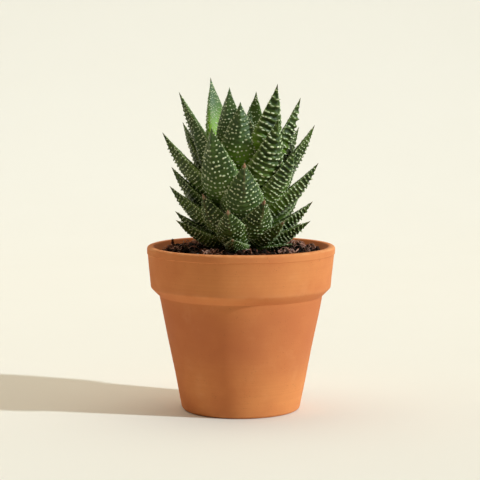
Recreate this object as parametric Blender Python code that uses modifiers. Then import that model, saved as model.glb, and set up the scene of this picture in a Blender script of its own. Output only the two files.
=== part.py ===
"""Potted haworthia: a rosette of thick, pearly leaves on a short stem, planted in a rimmed clay pot.

Metres, +Z up. The origin is at the middle of the pot's foot, on the surface that the pot stands on.
An azimuth is measured from -Y, the plant's front, towards +X.
"""

import math

import bmesh
import bpy
import numpy as np

# Clay pot
POT_HEIGHT = 0.0947
FOOT_RADIUS = 0.0340  # where the wall's line meets the table, before the foot is rounded
RIM_RADIUS = 0.0540
RIM_SIDE = 0.0238  # height of the rim band's side
RIM_UNDERSIDE = 0.0048  # height of the slope below it
RIM_TAPER = 0.0022
RIM_OVERHANG = 0.0049
LIP_BAND_HEIGHT = 0.0042
LIP_BAND_PROUD = 0.0003
WALL = 0.0048
FLOOR = 0.0062
DRAIN_RADIUS = 0.0060
FOOT_ROUNDING = 0.0022
LIP_OUTER_ROUNDING = 0.0022
LIP_INNER_ROUNDING = 0.0028
RIM_EDGE_ROUNDING = 0.0022
POT_STEPS = 56
ARC_STEPS = 3

# Potting soil
SOIL_BELOW_LIP = 0.0040
SOIL_MOUND = 0.0028
SOIL_STEPS = 32

# Stem
STEM_BURIED = 0.0180
STEM_LENGTH = 0.0560  # above the soil
STEM_RADIUS = 0.0055
STEM_TOP_RADIUS = 0.0035
STEM_TOP_FLAT_RADIUS = 0.0021
STEM_SHOULDER_DEPTH = 0.0072  # below the soil, where the stem starts to narrow to its end
STEM_SHOULDER_RADIUS = 0.0047
STEM_END_RADIUS = 0.0019
STEM_STEPS = 12

# Shape that all leaves share. The first three are shares of the leaf's width.
LEAF_OUTER_BULGE = 0.36
LEAF_INNER_BULGE = 0.11
LEAF_BASE_WIDTH = 0.62
LEAF_WIDEST_AT = 0.34  # share of the way from base to tip
LEAF_TAPER_POWER = 1.45
LEAF_DEPTH_POWER = 0.8  # below 1 keeps the leaf thick towards its tip
KEEL_START = 0.45  # the round back becomes a ridge between these two shares
KEEL_END = 0.92
LEAF_SEGMENTS = 8
LEAF_RINGS = 9
LEAF_BEZIER_HANDLE = 0.36  # of the distance from base to tip

CLEARANCE = 0.0003  # between pieces that touch
MERGE_DISTANCE = 0.00001
SOIL_DOME_POINTS = 4
MM = 0.001

# Radius of the pot's mouth that the leaves' tip radii are given for. They follow the real mouth.
TABLE_MOUTH_RADIUS = 0.04743

# Each leaf: azimuth and tip radius and tip height above the lip, height of its base above the soil,
# greatest width and bend of its spine (degrees and millimetres). Youngest first.
# A leaf makes room for every leaf above it in this list.
LEAVES = (
    # heart of the rosette
    (60, 5.5, 80, 50, 9, 6),
    (-30, 13, 91, 43, 20, 12),
    (155, 21, 88, 43, 18, 12),
    (42, 30.5, 93, 41, 23, 12),
    (-135, 25, 96, 41, 21, 10),
    (-1, 21, 83, 37, 25, 18),
    (195, 24, 80, 38, 19, 12),
    # upper whorl
    (74, 35, 85, 35, 20, 9),
    (-92, 35.5, 88, 37, 20, 3),
    (-65, 30, 75, 32, 20, 10),
    (34, 37, 74, 30, 25, 16),
    (130, 30, 66, 31, 19, 12),
    (170, 33, 74, 31, 21, 14),
    (212, 33, 74, 32, 20, 14),
    # middle whorl
    (-106, 35, 70.5, 29, 19, 8),
    (97, 33.5, 68, 28, 18, 10),
    (80, 42.5, 69.5, 27, 20, 9),
    (-75, 46, 65.5, 26, 21, 9),
    (-29, 34, 69, 23, 27, 16),
    (48, 41, 57, 21, 20, 14),
    (3, 37, 50, 18, 25, 20),
    (150, 40, 58, 22, 20, 14),
    (188, 40, 56, 21, 21, 14),
    (225, 38, 57, 22, 20, 14),
    (70, 46.5, 48.5, 18, 20, 12),
    (120, 38, 48, 18, 19, 12),
    (-82, 40, 45.5, 17, 20, 10),
    # lower whorl
    (-66, 44, 35.5, 12, 19, 12),
    (-38, 35, 32, 9, 21, 16),
    (21, 37, 29.5, 8, 22, 16),
    (71, 43, 26.5, 7.5, 18, 12),
    (145, 41, 34, 12, 19, 14),
    (178, 41, 31, 10, 19, 14),
    (212, 41, 33, 11, 19, 14),
    (245, 37, 30, 9, 18, 14),
    (112, 36, 26, 8, 18, 14),
    (-11, 39, 24, 6, 21, 16),
    (-77, 38.5, 20.5, 5.5, 17, 12),
    (-61, 42, 16.5, 3.5, 17, 8),
    (42, 37, 17, 4, 17, 12),
    (63, 44, 16, 3.5, 17, 8),
    # oldest leaves, on the soil
    (104, 36, 12, 3, 16, 10),
    (136, 40, 13, 3.5, 16, 10),
    (168, 40, 12, 3, 16, 10),
    (200, 40, 13, 3.5, 16, 10),
    (232, 38, 12, 3, 16, 10),
    (-6.5, 42.5, 8, 2.5, 14, 10),
    (54, 37, 3, 1.5, 13, 6),
)
LEAF_FIELDS = ("azimuth", "tip_radius", "tip_height", "base_height", "width", "bend")

# Bark chips on the soil: name, azimuth and distance from the soil's edge, length, width and height,
# turn (degrees and millimetres)
BARK_CHIPS = (
    ("bark_chip_left", -111, 3.8, (2.6, 1.8, 5.0), 20),
    ("bark_chip_right", 103, 5.2, (5.5, 3.6, 2.4), 65),
    ("bark_chip_back", 152, 3.9, (4.2, 3.0, 1.8), 10),
)
CHIP_BEVEL = 0.0004


RIM_LOW_RADIUS = RIM_RADIUS - RIM_TAPER
RIM_LOW_HEIGHT = POT_HEIGHT - RIM_SIDE
BODY_TOP_RADIUS = RIM_LOW_RADIUS - RIM_OVERHANG
BODY_TOP_HEIGHT = RIM_LOW_HEIGHT - RIM_UNDERSIDE


def body_radius(height):
    """Radius of the pot's plain outer wall, carried on up behind the rim band."""
    slope = (BODY_TOP_RADIUS - FOOT_RADIUS) / BODY_TOP_HEIGHT
    return FOOT_RADIUS + slope * height


def inner_radius(height):
    return body_radius(height) - WALL


SOIL_EDGE_HEIGHT = POT_HEIGHT - SOIL_BELOW_LIP
SOIL_RADIUS = inner_radius(SOIL_EDGE_HEIGHT) - CLEARANCE
SOIL_TOP = SOIL_EDGE_HEIGHT + SOIL_MOUND
LEAF_REACH = inner_radius(POT_HEIGHT) / TABLE_MOUTH_RADIUS


def soil_height(radius):
    """Height of the soil's surface, a low dome, at a distance from the axis."""
    share = np.clip(radius / SOIL_RADIUS, 0.0, 1.0)
    return SOIL_EDGE_HEIGHT + SOIL_MOUND * (1.0 - share**2)


def stem_radius(height):
    """Radius of the stem above the soil."""
    share = np.clip((height - SOIL_TOP) / STEM_LENGTH, 0.0, 1.0)
    return STEM_RADIUS + (STEM_TOP_RADIUS - STEM_RADIUS) * share


def clear_scene():
    for obj in list(bpy.data.objects):
        bpy.data.objects.remove(obj, do_unlink=True)


def new_collection(name):
    collection = bpy.data.collections.new(name)
    bpy.context.scene.collection.children.link(collection)
    return collection


def material(name, colour, roughness, metallic=0.0):
    made = bpy.data.materials.new(name)
    made.use_nodes = True
    shader = made.node_tree.nodes["Principled BSDF"]
    shader.inputs["Base Color"].default_value = (*colour, 1.0)
    shader.inputs["Roughness"].default_value = roughness
    shader.inputs["Metallic"].default_value = metallic
    return made


def add_object(name, mesh, collection, finish):
    obj = bpy.data.objects.new(name, mesh)
    collection.objects.link(obj)
    mesh.materials.append(finish)
    return obj


def corner_arc(before, corner, after, radius):
    """Points of a round of the given radius at the corner of two straight runs."""
    corner = np.array(corner)
    to_before = np.array(before) - corner
    to_after = np.array(after) - corner
    to_before /= np.linalg.norm(to_before)
    to_after /= np.linalg.norm(to_after)
    half_angle = math.acos(float(np.clip(to_before @ to_after, -1.0, 1.0))) / 2.0
    start = corner + to_before * radius / math.tan(half_angle)
    bisector = to_before + to_after
    centre = corner + bisector / np.linalg.norm(bisector) * radius / math.sin(half_angle)
    first = start - centre
    turn = math.pi - 2.0 * half_angle
    if to_before[0] * to_after[1] - to_before[1] * to_after[0] > 0.0:
        turn = -turn
    points = []
    for step in range(ARC_STEPS + 1):
        angle = turn * step / ARC_STEPS
        cosine, sine = math.cos(angle), math.sin(angle)
        points.append(
            (
                centre[0] + first[0] * cosine - first[1] * sine,
                centre[1] + first[0] * sine + first[1] * cosine,
            )
        )
    return points


def rounded(corners):
    """A closed profile through (radius, height, rounding) corners, with an arc at each rounded one."""
    points = []
    for index, (radius, height, rounding) in enumerate(corners):
        if rounding:
            before = corners[index - 1][:2]
            after = corners[(index + 1) % len(corners)][:2]
            points.extend(corner_arc(before, (radius, height), after, rounding))
        else:
            points.append((radius, height))
    return points


def turned(name, profile, closed, steps, collection, finish):
    """Turns a profile of (radius, height) points about Z. A half section starts and ends on the axis."""
    mesh = bpy.data.meshes.new(name)
    points = [(radius, 0.0, height) for radius, height in profile]
    edges = [(index, index + 1) for index in range(len(points) - 1)]
    if closed:
        edges.append((len(points) - 1, 0))
    mesh.from_pydata(points, edges, [])
    obj = add_object(name, mesh, collection, finish)
    screw = obj.modifiers.new("Turn", "SCREW")
    screw.axis = "Z"
    screw.angle = math.tau
    screw.steps = steps
    screw.render_steps = steps
    screw.use_merge_vertices = True
    screw.merge_threshold = MERGE_DISTANCE
    screw.use_smooth_shade = True
    return obj


def pot_profile():
    """Closed section of the pot: down the outside, under the foot, up the drain hole and the inside."""
    lip_under = POT_HEIGHT - LIP_BAND_HEIGHT
    rim_slope = (RIM_RADIUS - LIP_BAND_PROUD - RIM_LOW_RADIUS) / (lip_under - RIM_LOW_HEIGHT)
    corners = (
        (RIM_RADIUS, POT_HEIGHT, LIP_OUTER_ROUNDING),
        (RIM_RADIUS, lip_under, 0.0),
        (RIM_RADIUS - LIP_BAND_PROUD, lip_under - LIP_BAND_PROUD, 0.0),
        (RIM_LOW_RADIUS + rim_slope * LIP_BAND_PROUD, RIM_LOW_HEIGHT, RIM_EDGE_ROUNDING),
        (BODY_TOP_RADIUS, BODY_TOP_HEIGHT, 0.0),
        (FOOT_RADIUS, 0.0, FOOT_ROUNDING),
        (DRAIN_RADIUS, 0.0, 0.0),
        (DRAIN_RADIUS, FLOOR, 0.0),
        (inner_radius(FLOOR), FLOOR, 0.0),
        (inner_radius(POT_HEIGHT), POT_HEIGHT, LIP_INNER_ROUNDING),
    )
    return rounded(corners)


def soil_profile():
    """Half section of the soil, from the top at the axis down its outer side to the bottom."""
    radii = np.linspace(0.0, SOIL_RADIUS, SOIL_DOME_POINTS)
    dome = list(zip(radii, soil_height(radii)))
    bottom = FLOOR + CLEARANCE
    return [*dome, (inner_radius(bottom) - CLEARANCE, bottom), (0.0, bottom)]


def stem_profile(grow):
    """Half section of the stem, tapered above the soil and pointed below, grown by a clearance."""
    top = SOIL_TOP + STEM_LENGTH
    low = SOIL_TOP - STEM_BURIED
    return [
        (0.0, top + grow),
        (STEM_TOP_FLAT_RADIUS + grow, top + grow),
        (STEM_TOP_RADIUS + grow, top - STEM_TOP_FLAT_RADIUS),
        (STEM_RADIUS + grow, SOIL_TOP),
        (STEM_SHOULDER_RADIUS + grow, SOIL_TOP - STEM_SHOULDER_DEPTH),
        (STEM_END_RADIUS + grow, low - grow),
        (0.0, low - grow),
    ]


def smooth_step(low, high, value):
    share = np.clip((value - low) / (high - low), 0.0, 1.0)
    return share * share * (3.0 - 2.0 * share)


def leaf_outline(along):
    """Half width of a leaf, as a share of its greatest, from base 0 to tip 1."""
    below = LEAF_BASE_WIDTH + (1.0 - LEAF_BASE_WIDTH) * (1.0 - (1.0 - along / LEAF_WIDEST_AT) ** 2)
    above = 1.0 - np.clip((along - LEAF_WIDEST_AT) / (1.0 - LEAF_WIDEST_AT), 0.0, 1.0) ** LEAF_TAPER_POWER
    return np.where(along < LEAF_WIDEST_AT, below, above)


def leaf_spine(leaf, along):
    """Points, tangents and outward normals of the spine, a cubic curve in the plane of the azimuth.

    Returned as (radius, height) pairs in that plane.
    """
    base_height = SOIL_TOP + leaf["base_height"] * MM
    base = np.array([stem_radius(base_height), base_height])
    tip = np.array([leaf["tip_radius"] * LEAF_REACH * MM, POT_HEIGHT + leaf["tip_height"] * MM])
    chord = tip - base
    rise = math.atan2(chord[1], chord[0])
    bend = math.radians(leaf["bend"])
    handle = LEAF_BEZIER_HANDLE * np.linalg.norm(chord)
    first = base + handle * np.array([math.cos(rise - bend), math.sin(rise - bend)])
    second = tip - handle * np.array([math.cos(rise + bend), math.sin(rise + bend)])
    t = along[:, None]
    point = (1 - t) ** 3 * base + 3 * t * (1 - t) ** 2 * first + 3 * t**2 * (1 - t) * second + t**3 * tip
    tangent = (1 - t) ** 2 * (first - base) + 2 * t * (1 - t) * (second - first) + t**2 * (tip - second)
    tangent /= np.linalg.norm(tangent, axis=1, keepdims=True)
    normal = np.stack([tangent[:, 1], -tangent[:, 0]], axis=1)
    return point, tangent, normal


def leaf_points(leaf, along, around, grow):
    """Surface points of a leaf, from the share of the way along it and the angle round its section.

    The section is a shallow arc on the inner side and a deeper one outside, which becomes a keel
    towards the tip. Every point moves out by grow. The leaf lies on the soil where it meets it.
    """
    width = leaf["width"] * MM
    point, tangent, normal = leaf_spine(leaf, along)
    outline = leaf_outline(along)
    inside = np.sin(around) > 0.0
    keel = smooth_step(KEEL_START, KEEL_END, along)
    arc = np.abs(np.sin(around))
    ridge = 1.0 - np.abs(np.cos(around))
    thickness = outline**LEAF_DEPTH_POWER
    outer = (LEAF_OUTER_BULGE * width * thickness + grow) * (arc * (1.0 - keel) + ridge * keel)
    inner = (LEAF_INNER_BULGE * width * thickness + grow) * arc
    depth = np.where(inside, -inner, outer)
    side = (0.5 * width * outline + grow) * np.cos(around)
    ends = grow * (np.where(along >= 1.0, 1.0, 0.0) - np.where(along <= 0.0, 1.0, 0.0))
    radius = point[:, 0] + normal[:, 0] * depth + tangent[:, 0] * ends
    height = point[:, 1] + normal[:, 1] * depth + tangent[:, 1] * ends
    turn = math.radians(leaf["azimuth"])
    x = radius * math.sin(turn) + side * math.cos(turn)
    y = -radius * math.cos(turn) + side * math.sin(turn)
    height = np.maximum(height, soil_height(np.hypot(x, y)) + CLEARANCE - grow)
    return np.stack([x, y, height], axis=1)


def leaf_mesh(name, leaf, grow=0.0):
    """A sphere whose poles become the leaf's base and tip."""
    work = bmesh.new()
    bmesh.ops.create_uvsphere(work, u_segments=LEAF_SEGMENTS, v_segments=LEAF_RINGS, radius=1.0)
    ball = np.array([vert.co for vert in work.verts])
    along = np.arccos(np.clip(-ball[:, 2], -1.0, 1.0)) / math.pi
    along = np.clip(np.round(along, 6), 0.0, 1.0)
    around = np.arctan2(ball[:, 1], ball[:, 0])
    places = leaf_points(leaf, along, around, grow)
    for vert, place in zip(work.verts, places):
        vert.co = place
    bmesh.ops.triangulate(work, faces=work.faces)
    bmesh.ops.recalc_face_normals(work, faces=work.faces)
    mesh = bpy.data.meshes.new(name)
    work.to_mesh(mesh)
    work.free()
    return mesh


def boxes_meet(first, second):
    """True where the boxes round two sets of corner points overlap."""
    return bool(np.all(first[0] < second[1]) and np.all(second[0] < first[1]))


def mesh_box(mesh):
    points = np.array([vert.co for vert in mesh.vertices])
    return points.min(axis=0), points.max(axis=0)


def bake(obj):
    """Applies the object's modifiers and keeps only the largest of its pieces."""
    bpy.context.view_layer.update()
    graph = bpy.context.evaluated_depsgraph_get()
    baked = bpy.data.meshes.new_from_object(obj.evaluated_get(graph))
    obj.modifiers.clear()
    work = bmesh.new()
    work.from_mesh(baked)
    bmesh.ops.triangulate(work, faces=work.faces)
    waiting = set(work.verts)
    islands = []
    while waiting:
        island = set()
        stack = [waiting.pop()]
        while stack:
            vert = stack.pop()
            island.add(vert)
            for edge in vert.link_edges:
                other = edge.other_vert(vert)
                if other in waiting:
                    waiting.remove(other)
                    stack.append(other)
        islands.append(island)
    islands.sort(key=island_size, reverse=True)
    for island in islands[1:]:
        bmesh.ops.delete(work, geom=list(island), context="VERTS")
    work.to_mesh(baked)
    work.free()
    name = obj.data.name
    obj.data = baked
    baked.name = name


def island_size(island):
    """Diagonal of the box round a set of vertices."""
    points = np.array([vert.co for vert in island])
    return float(np.linalg.norm(points.max(axis=0) - points.min(axis=0)))


def cut(obj, cutter):
    boolean = obj.modifiers.new("Room for " + cutter.name, "BOOLEAN")
    boolean.operation = "DIFFERENCE"
    boolean.solver = "EXACT"
    boolean.object = cutter


def make_cutter(name, mesh, collection):
    obj = bpy.data.objects.new(name, mesh)
    collection.objects.link(obj)
    obj.hide_render = True
    obj.display_type = "WIRE"
    return obj


def bark_chip(name, azimuth, inset, size, turn, collection, finish):
    """A bevelled block that stands on the soil under its highest corner."""
    place = SOIL_RADIUS - inset * MM
    half_diagonal = 0.5 * math.hypot(size[0], size[1]) * MM
    ground = float(soil_height(np.array(place - half_diagonal))) + CLEARANCE
    work = bmesh.new()
    bmesh.ops.create_cube(work, size=1.0)
    bmesh.ops.scale(work, verts=work.verts, vec=[side * MM for side in size])
    mesh = bpy.data.meshes.new(name)
    work.to_mesh(mesh)
    work.free()
    obj = add_object(name, mesh, collection, finish)
    angle = math.radians(azimuth)
    obj.location = (place * math.sin(angle), -place * math.cos(angle), ground + 0.5 * size[2] * MM)
    obj.rotation_euler = (0.0, 0.0, math.radians(turn))
    bevel = obj.modifiers.new("Worn edges", "BEVEL")
    bevel.width = CHIP_BEVEL
    bevel.segments = 1


def main():
    clear_scene()
    parts = new_collection("potted_haworthia")
    cutters = new_collection("cutters")
    clay = material("terracotta", (0.55, 0.22, 0.10), 0.85)
    earth = material("potting_soil", (0.035, 0.022, 0.016), 0.95)
    bark = material("bark", (0.10, 0.055, 0.035), 0.9)
    stalk = material("stem_green", (0.16, 0.20, 0.08), 0.6)
    green = material("leaf_green", (0.055, 0.12, 0.045), 0.5)

    turned("pot", pot_profile(), True, POT_STEPS, parts, clay)
    soil = turned("soil", soil_profile(), False, SOIL_STEPS, parts, earth)
    turned("stem", stem_profile(0.0), False, STEM_STEPS, parts, stalk)
    stem_room = turned("stem_clearance", stem_profile(CLEARANCE), False, STEM_STEPS, cutters, stalk)
    stem_room.hide_render = True
    stem_room.display_type = "WIRE"
    cut(soil, stem_room)

    placed = []
    for number, values in enumerate(LEAVES, start=1):
        name = f"leaf_{number:02d}"
        leaf = dict(zip(LEAF_FIELDS, values))
        obj = add_object(name, leaf_mesh(name, leaf), parts, green)
        box = mesh_box(obj.data)
        cut(obj, stem_room)
        for room, room_box in placed:
            if boxes_meet(box, room_box):
                cut(obj, room)
        bake(obj)
        room_mesh = leaf_mesh(name + "_clearance", leaf, CLEARANCE)
        placed.append((make_cutter(name + "_clearance", room_mesh, cutters), mesh_box(room_mesh)))
    for name, azimuth, inset, size, turn in BARK_CHIPS:
        bark_chip(name, azimuth, inset, size, turn, parts, bark)


main()
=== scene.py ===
"""Looks for a potted haworthia: leaves with pearly bumps, loose potting soil and a turned clay pot.

Metres, +Z up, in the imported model's own frame. The origin is at the middle of the pot's foot. An azimuth
is measured from -Y, the plant's front, towards +X.
"""

import logging
import math
from dataclasses import dataclass, field
from enum import Enum, IntEnum
from typing import ClassVar

import bpy
import numpy as np
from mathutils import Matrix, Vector


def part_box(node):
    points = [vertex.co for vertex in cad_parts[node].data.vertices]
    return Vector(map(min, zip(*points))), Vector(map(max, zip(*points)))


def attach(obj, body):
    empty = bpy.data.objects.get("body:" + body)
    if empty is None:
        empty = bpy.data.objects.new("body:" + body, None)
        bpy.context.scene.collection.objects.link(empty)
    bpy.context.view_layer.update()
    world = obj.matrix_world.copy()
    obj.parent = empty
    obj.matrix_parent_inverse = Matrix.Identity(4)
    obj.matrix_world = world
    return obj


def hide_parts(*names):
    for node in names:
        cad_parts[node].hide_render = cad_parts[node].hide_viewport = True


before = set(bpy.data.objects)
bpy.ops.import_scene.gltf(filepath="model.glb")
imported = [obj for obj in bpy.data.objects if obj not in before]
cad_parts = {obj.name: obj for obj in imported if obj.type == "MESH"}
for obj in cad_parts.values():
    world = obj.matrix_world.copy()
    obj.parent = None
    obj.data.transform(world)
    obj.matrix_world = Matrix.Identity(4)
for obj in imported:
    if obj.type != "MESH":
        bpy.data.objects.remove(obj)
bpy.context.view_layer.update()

LOG = logging.getLogger("potted_haworthia")
MM = 0.001
SOIL_BELOW_LIP = 4.0 * MM
SOIL_CLEARANCE = 0.3 * MM

Array = np.ndarray
Point = tuple[float, float, float]
Colour = tuple[float, float, float]
Socket = bpy.types.NodeSocket
Shader = bpy.types.ShaderNode


class Seed(IntEnum):
    """Seeds of the random draws. A leaf's own seed is its number on top of the first leaf's."""

    POT_SWAY = 3
    POT_LIP = 4
    POT_LINES = 5
    POT_PAINTED_SHADE = 6
    SOIL_COARSE = 11
    SOIL_FINE = 12
    LEAF_ROWS = 17
    PEAT_CRUMBS = 21
    BARK_BITS = 22
    PALE_GRIT = 23
    WOOD_SHARDS = 24
    CHIP_LEFT = 31
    CHIP_RIGHT = 32
    CHIP_BACK = 33
    FIBRES = 71
    FIRST_LEAF = 1000


# ---------------------------------------------------------------------------------------------------
# Shapes as arrays


def smooth_step(low: float, high: float, value: Array) -> Array:
    """Smooth rise from 0 at low to 1 at high: three times the share squared less twice its cube.

    Args:
        low: Value where the rise starts.
        high: Value where it ends.
        value: Values to map.

    Returns:
        The risen share of each value.
    """
    share = np.clip((value - low) / (high - low), 0.0, 1.0)
    return share * share * (3.0 - 2.0 * share)


def ripple(points: Array, size: float, seed: int, waves: int = 28) -> Array:
    """Smooth random field with a spread of about 1: a sum of plane waves in random directions.

    Each wave is the cosine of a phase plus the point's dot product with a random vector, and makes
    about one turn in each size.

    Args:
        points: Points, with x, y and z along the last axis.
        size: Typical wavelength in metres.
        seed: Seed of the directions and phases.
        waves: Number of waves.

    Returns:
        The field at each point.
    """
    rng = np.random.default_rng(seed)
    directions = rng.normal(size=(waves, 3))
    directions /= np.linalg.norm(directions, axis=1, keepdims=True)
    turns = math.tau / (size * rng.uniform(0.6, 1.6, waves))
    phases = rng.uniform(0.0, math.tau, waves)
    return np.cos(points @ (directions * turns[:, None]).T + phases).sum(axis=-1) * math.sqrt(2.0 / waves)


def capped_faces(rings: int, columns: int) -> tuple[Array, Array]:
    """Faces of a closed skin of rings with a pole at each end, for points in ring order, then the poles.

    Args:
        rings: Number of rings.
        columns: Points on each ring.

    Returns:
        The quads between rings and the triangles at the two poles.
    """
    here = np.arange(columns)
    after = (here + 1) % columns
    starts = np.arange(rings - 1)[:, None] * columns
    quads = np.stack(
        [starts + here, starts + after, starts + columns + after, starts + columns + here], axis=-1
    )
    first = np.stack([np.full(columns, rings * columns), after, here], axis=-1)
    last_ring = (rings - 1) * columns
    last = np.stack([np.full(columns, rings * columns + 1), last_ring + here, last_ring + after], axis=-1)
    return quads.reshape(-1, 4), np.concatenate([first, last])


def ring_faces(rings: int, columns: int) -> Array:
    """Quads of a skin that closes on itself both ways, such as a wall with a hole through its middle.

    Args:
        rings: Number of rings.
        columns: Points on each ring.

    Returns:
        The quads, for points in ring order.
    """
    here = np.arange(columns)
    after = (here + 1) % columns
    start = np.arange(rings)[:, None] * columns
    over = (np.arange(rings)[:, None] + 1) % rings * columns
    return np.stack([start + here, start + after, over + after, over + here], axis=-1).reshape(-1, 4)


def repeated(faces: Array, copies: int, points_each: int) -> Array:
    """The faces of one small shape, repeated for copies that follow each other in the points.

    Args:
        faces: Faces of the first copy.
        copies: Number of copies.
        points_each: Points in each copy.

    Returns:
        The faces of all copies.
    """
    return (faces[None] + np.arange(copies)[:, None, None] * points_each).reshape(-1, faces.shape[1])


def lump(columns: int, heights: tuple[float, ...]) -> tuple[Array, Array, Array]:
    """A unit ball cut into a few rings: at each height, a ring whose radius is the cosine of its latitude.

    Args:
        columns: Points on each ring.
        heights: Heights of the rings, from low to high, each between -1 and 1.

    Returns:
        The points, the quads and the triangles.
    """
    angle = math.tau * np.arange(columns) / columns
    level = np.array(heights)
    radius = np.sqrt(1.0 - level**2)
    rings = np.stack(
        [
            radius[:, None] * np.cos(angle),
            radius[:, None] * np.sin(angle),
            np.repeat(level[:, None], columns, axis=1),
        ],
        axis=-1,
    )
    points = np.concatenate([rings.reshape(-1, 3), [[0.0, 0.0, -1.0], [0.0, 0.0, 1.0]]])
    quads, triangles = capped_faces(len(heights), columns)
    return points, quads, triangles


def random_turns(rng: np.random.Generator, count: int) -> Array:
    """Random rotation matrices: unit quaternions drawn evenly, each written out as a matrix.

    Args:
        rng: Source of random numbers.
        count: Number of rotations.

    Returns:
        An array of count matrices.
    """
    w, x, y, z = rng.normal(size=(count, 4)).T
    length = np.sqrt(w**2 + x**2 + y**2 + z**2)
    w, x, y, z = w / length, x / length, y / length, z / length
    rows = [
        [1 - 2 * (y * y + z * z), 2 * (x * y - w * z), 2 * (x * z + w * y)],
        [2 * (x * y + w * z), 1 - 2 * (x * x + z * z), 2 * (y * z - w * x)],
        [2 * (x * z - w * y), 2 * (y * z + w * x), 1 - 2 * (x * x + y * y)],
    ]
    return np.moveaxis(np.array(rows), 2, 0)


QUAD_SIDES = 4


@dataclass
class Piece:
    """Points and faces gathered for one object, with a value at each point for each named attribute."""

    name: str
    points: list[Array] = field(default_factory=list)
    faces: list[Array] = field(default_factory=list)
    finish_numbers: list[Array] = field(default_factory=list)
    values: list[dict[str, Array | float]] = field(default_factory=list)
    count: int = 0

    def add(self, points: Array, faces: tuple[Array, ...], finish: int = 0, **values: Array | float) -> None:
        """Adds a closed shape, turning its faces outwards.

        The sign of its volume, summed as the determinants of its faces' triangles, tells which way its
        faces point.

        Args:
            points: Its points, one to a row.
            faces: Arrays of faces, each of triangles or of quads.
            finish: Number of its material on the piece.
            **values: Attribute values, one number or one for each point.
        """
        volume = 0.0
        for group in faces:
            corners = points[group]
            volume += np.linalg.det(corners[:, :3]).sum()
            if group.shape[1] == QUAD_SIDES:
                volume += np.linalg.det(corners[:, [0, 2, 3]]).sum()
        for group in faces:
            turned = group if volume > 0.0 else group[:, ::-1]
            self.faces.append(turned + self.count)
            self.finish_numbers.append(np.full(len(group), finish))
        self.points.append(points)
        self.values.append({key: np.broadcast_to(value, len(points)) for key, value in values.items()})
        self.count += len(points)

    def make(self, finishes: list["Finish"], slot: str, *nodes: str) -> bpy.types.Object:
        """Makes the object, dresses it and puts it on the frame.

        Args:
            finishes: Its finishes, in the order of their numbers.
            slot: The record's material slot; not used.
            *nodes: CAD nodes that it stands for.

        Returns:
            The new object.
        """
        mesh = bpy.data.meshes.new(self.name)
        points = np.concatenate(self.points)
        mesh.vertices.add(len(points))
        mesh.vertices.foreach_set("co", points.astype(np.float32).ravel())
        corners = np.concatenate([group.ravel() for group in self.faces])
        sides = np.concatenate([np.full(len(group), group.shape[1]) for group in self.faces])
        mesh.loops.add(len(corners))
        mesh.loops.foreach_set("vertex_index", corners.astype(np.int32))
        mesh.polygons.add(len(sides))
        mesh.polygons.foreach_set("loop_start", (np.cumsum(sides) - sides).astype(np.int32))
        for finish in finishes:
            mesh.materials.append(finish.material())
        mesh.polygons.foreach_set("material_index", np.concatenate(self.finish_numbers).astype(np.int32))
        mesh.polygons.foreach_set("use_smooth", np.ones(len(sides), bool))
        mesh.update(calc_edges=True)
        mesh.validate()
        for key in sorted({key for part in self.values for key in part}):
            parts = [part.get(key, np.zeros(len(at))) for part, at in zip(self.values, self.points)]
            layer = mesh.attributes.new(key, "FLOAT", "POINT")
            layer.data.foreach_set("value", np.concatenate(parts).astype(np.float32))
        made = bpy.data.objects.new(self.name, mesh)
        bpy.context.scene.collection.objects.link(made)
        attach(made, "root")
        if nodes:
            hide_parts(*nodes)
        LOG.info("%s: %d triangles", self.name, int((sides - 2).sum()))
        return made


# ---------------------------------------------------------------------------------------------------
# Finishes


# Sockets of a Mix node that mixes colours.
MIX_SHARE, MIX_FIRST, MIX_SECOND, MIX_RESULT = 0, 6, 7, 2


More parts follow.
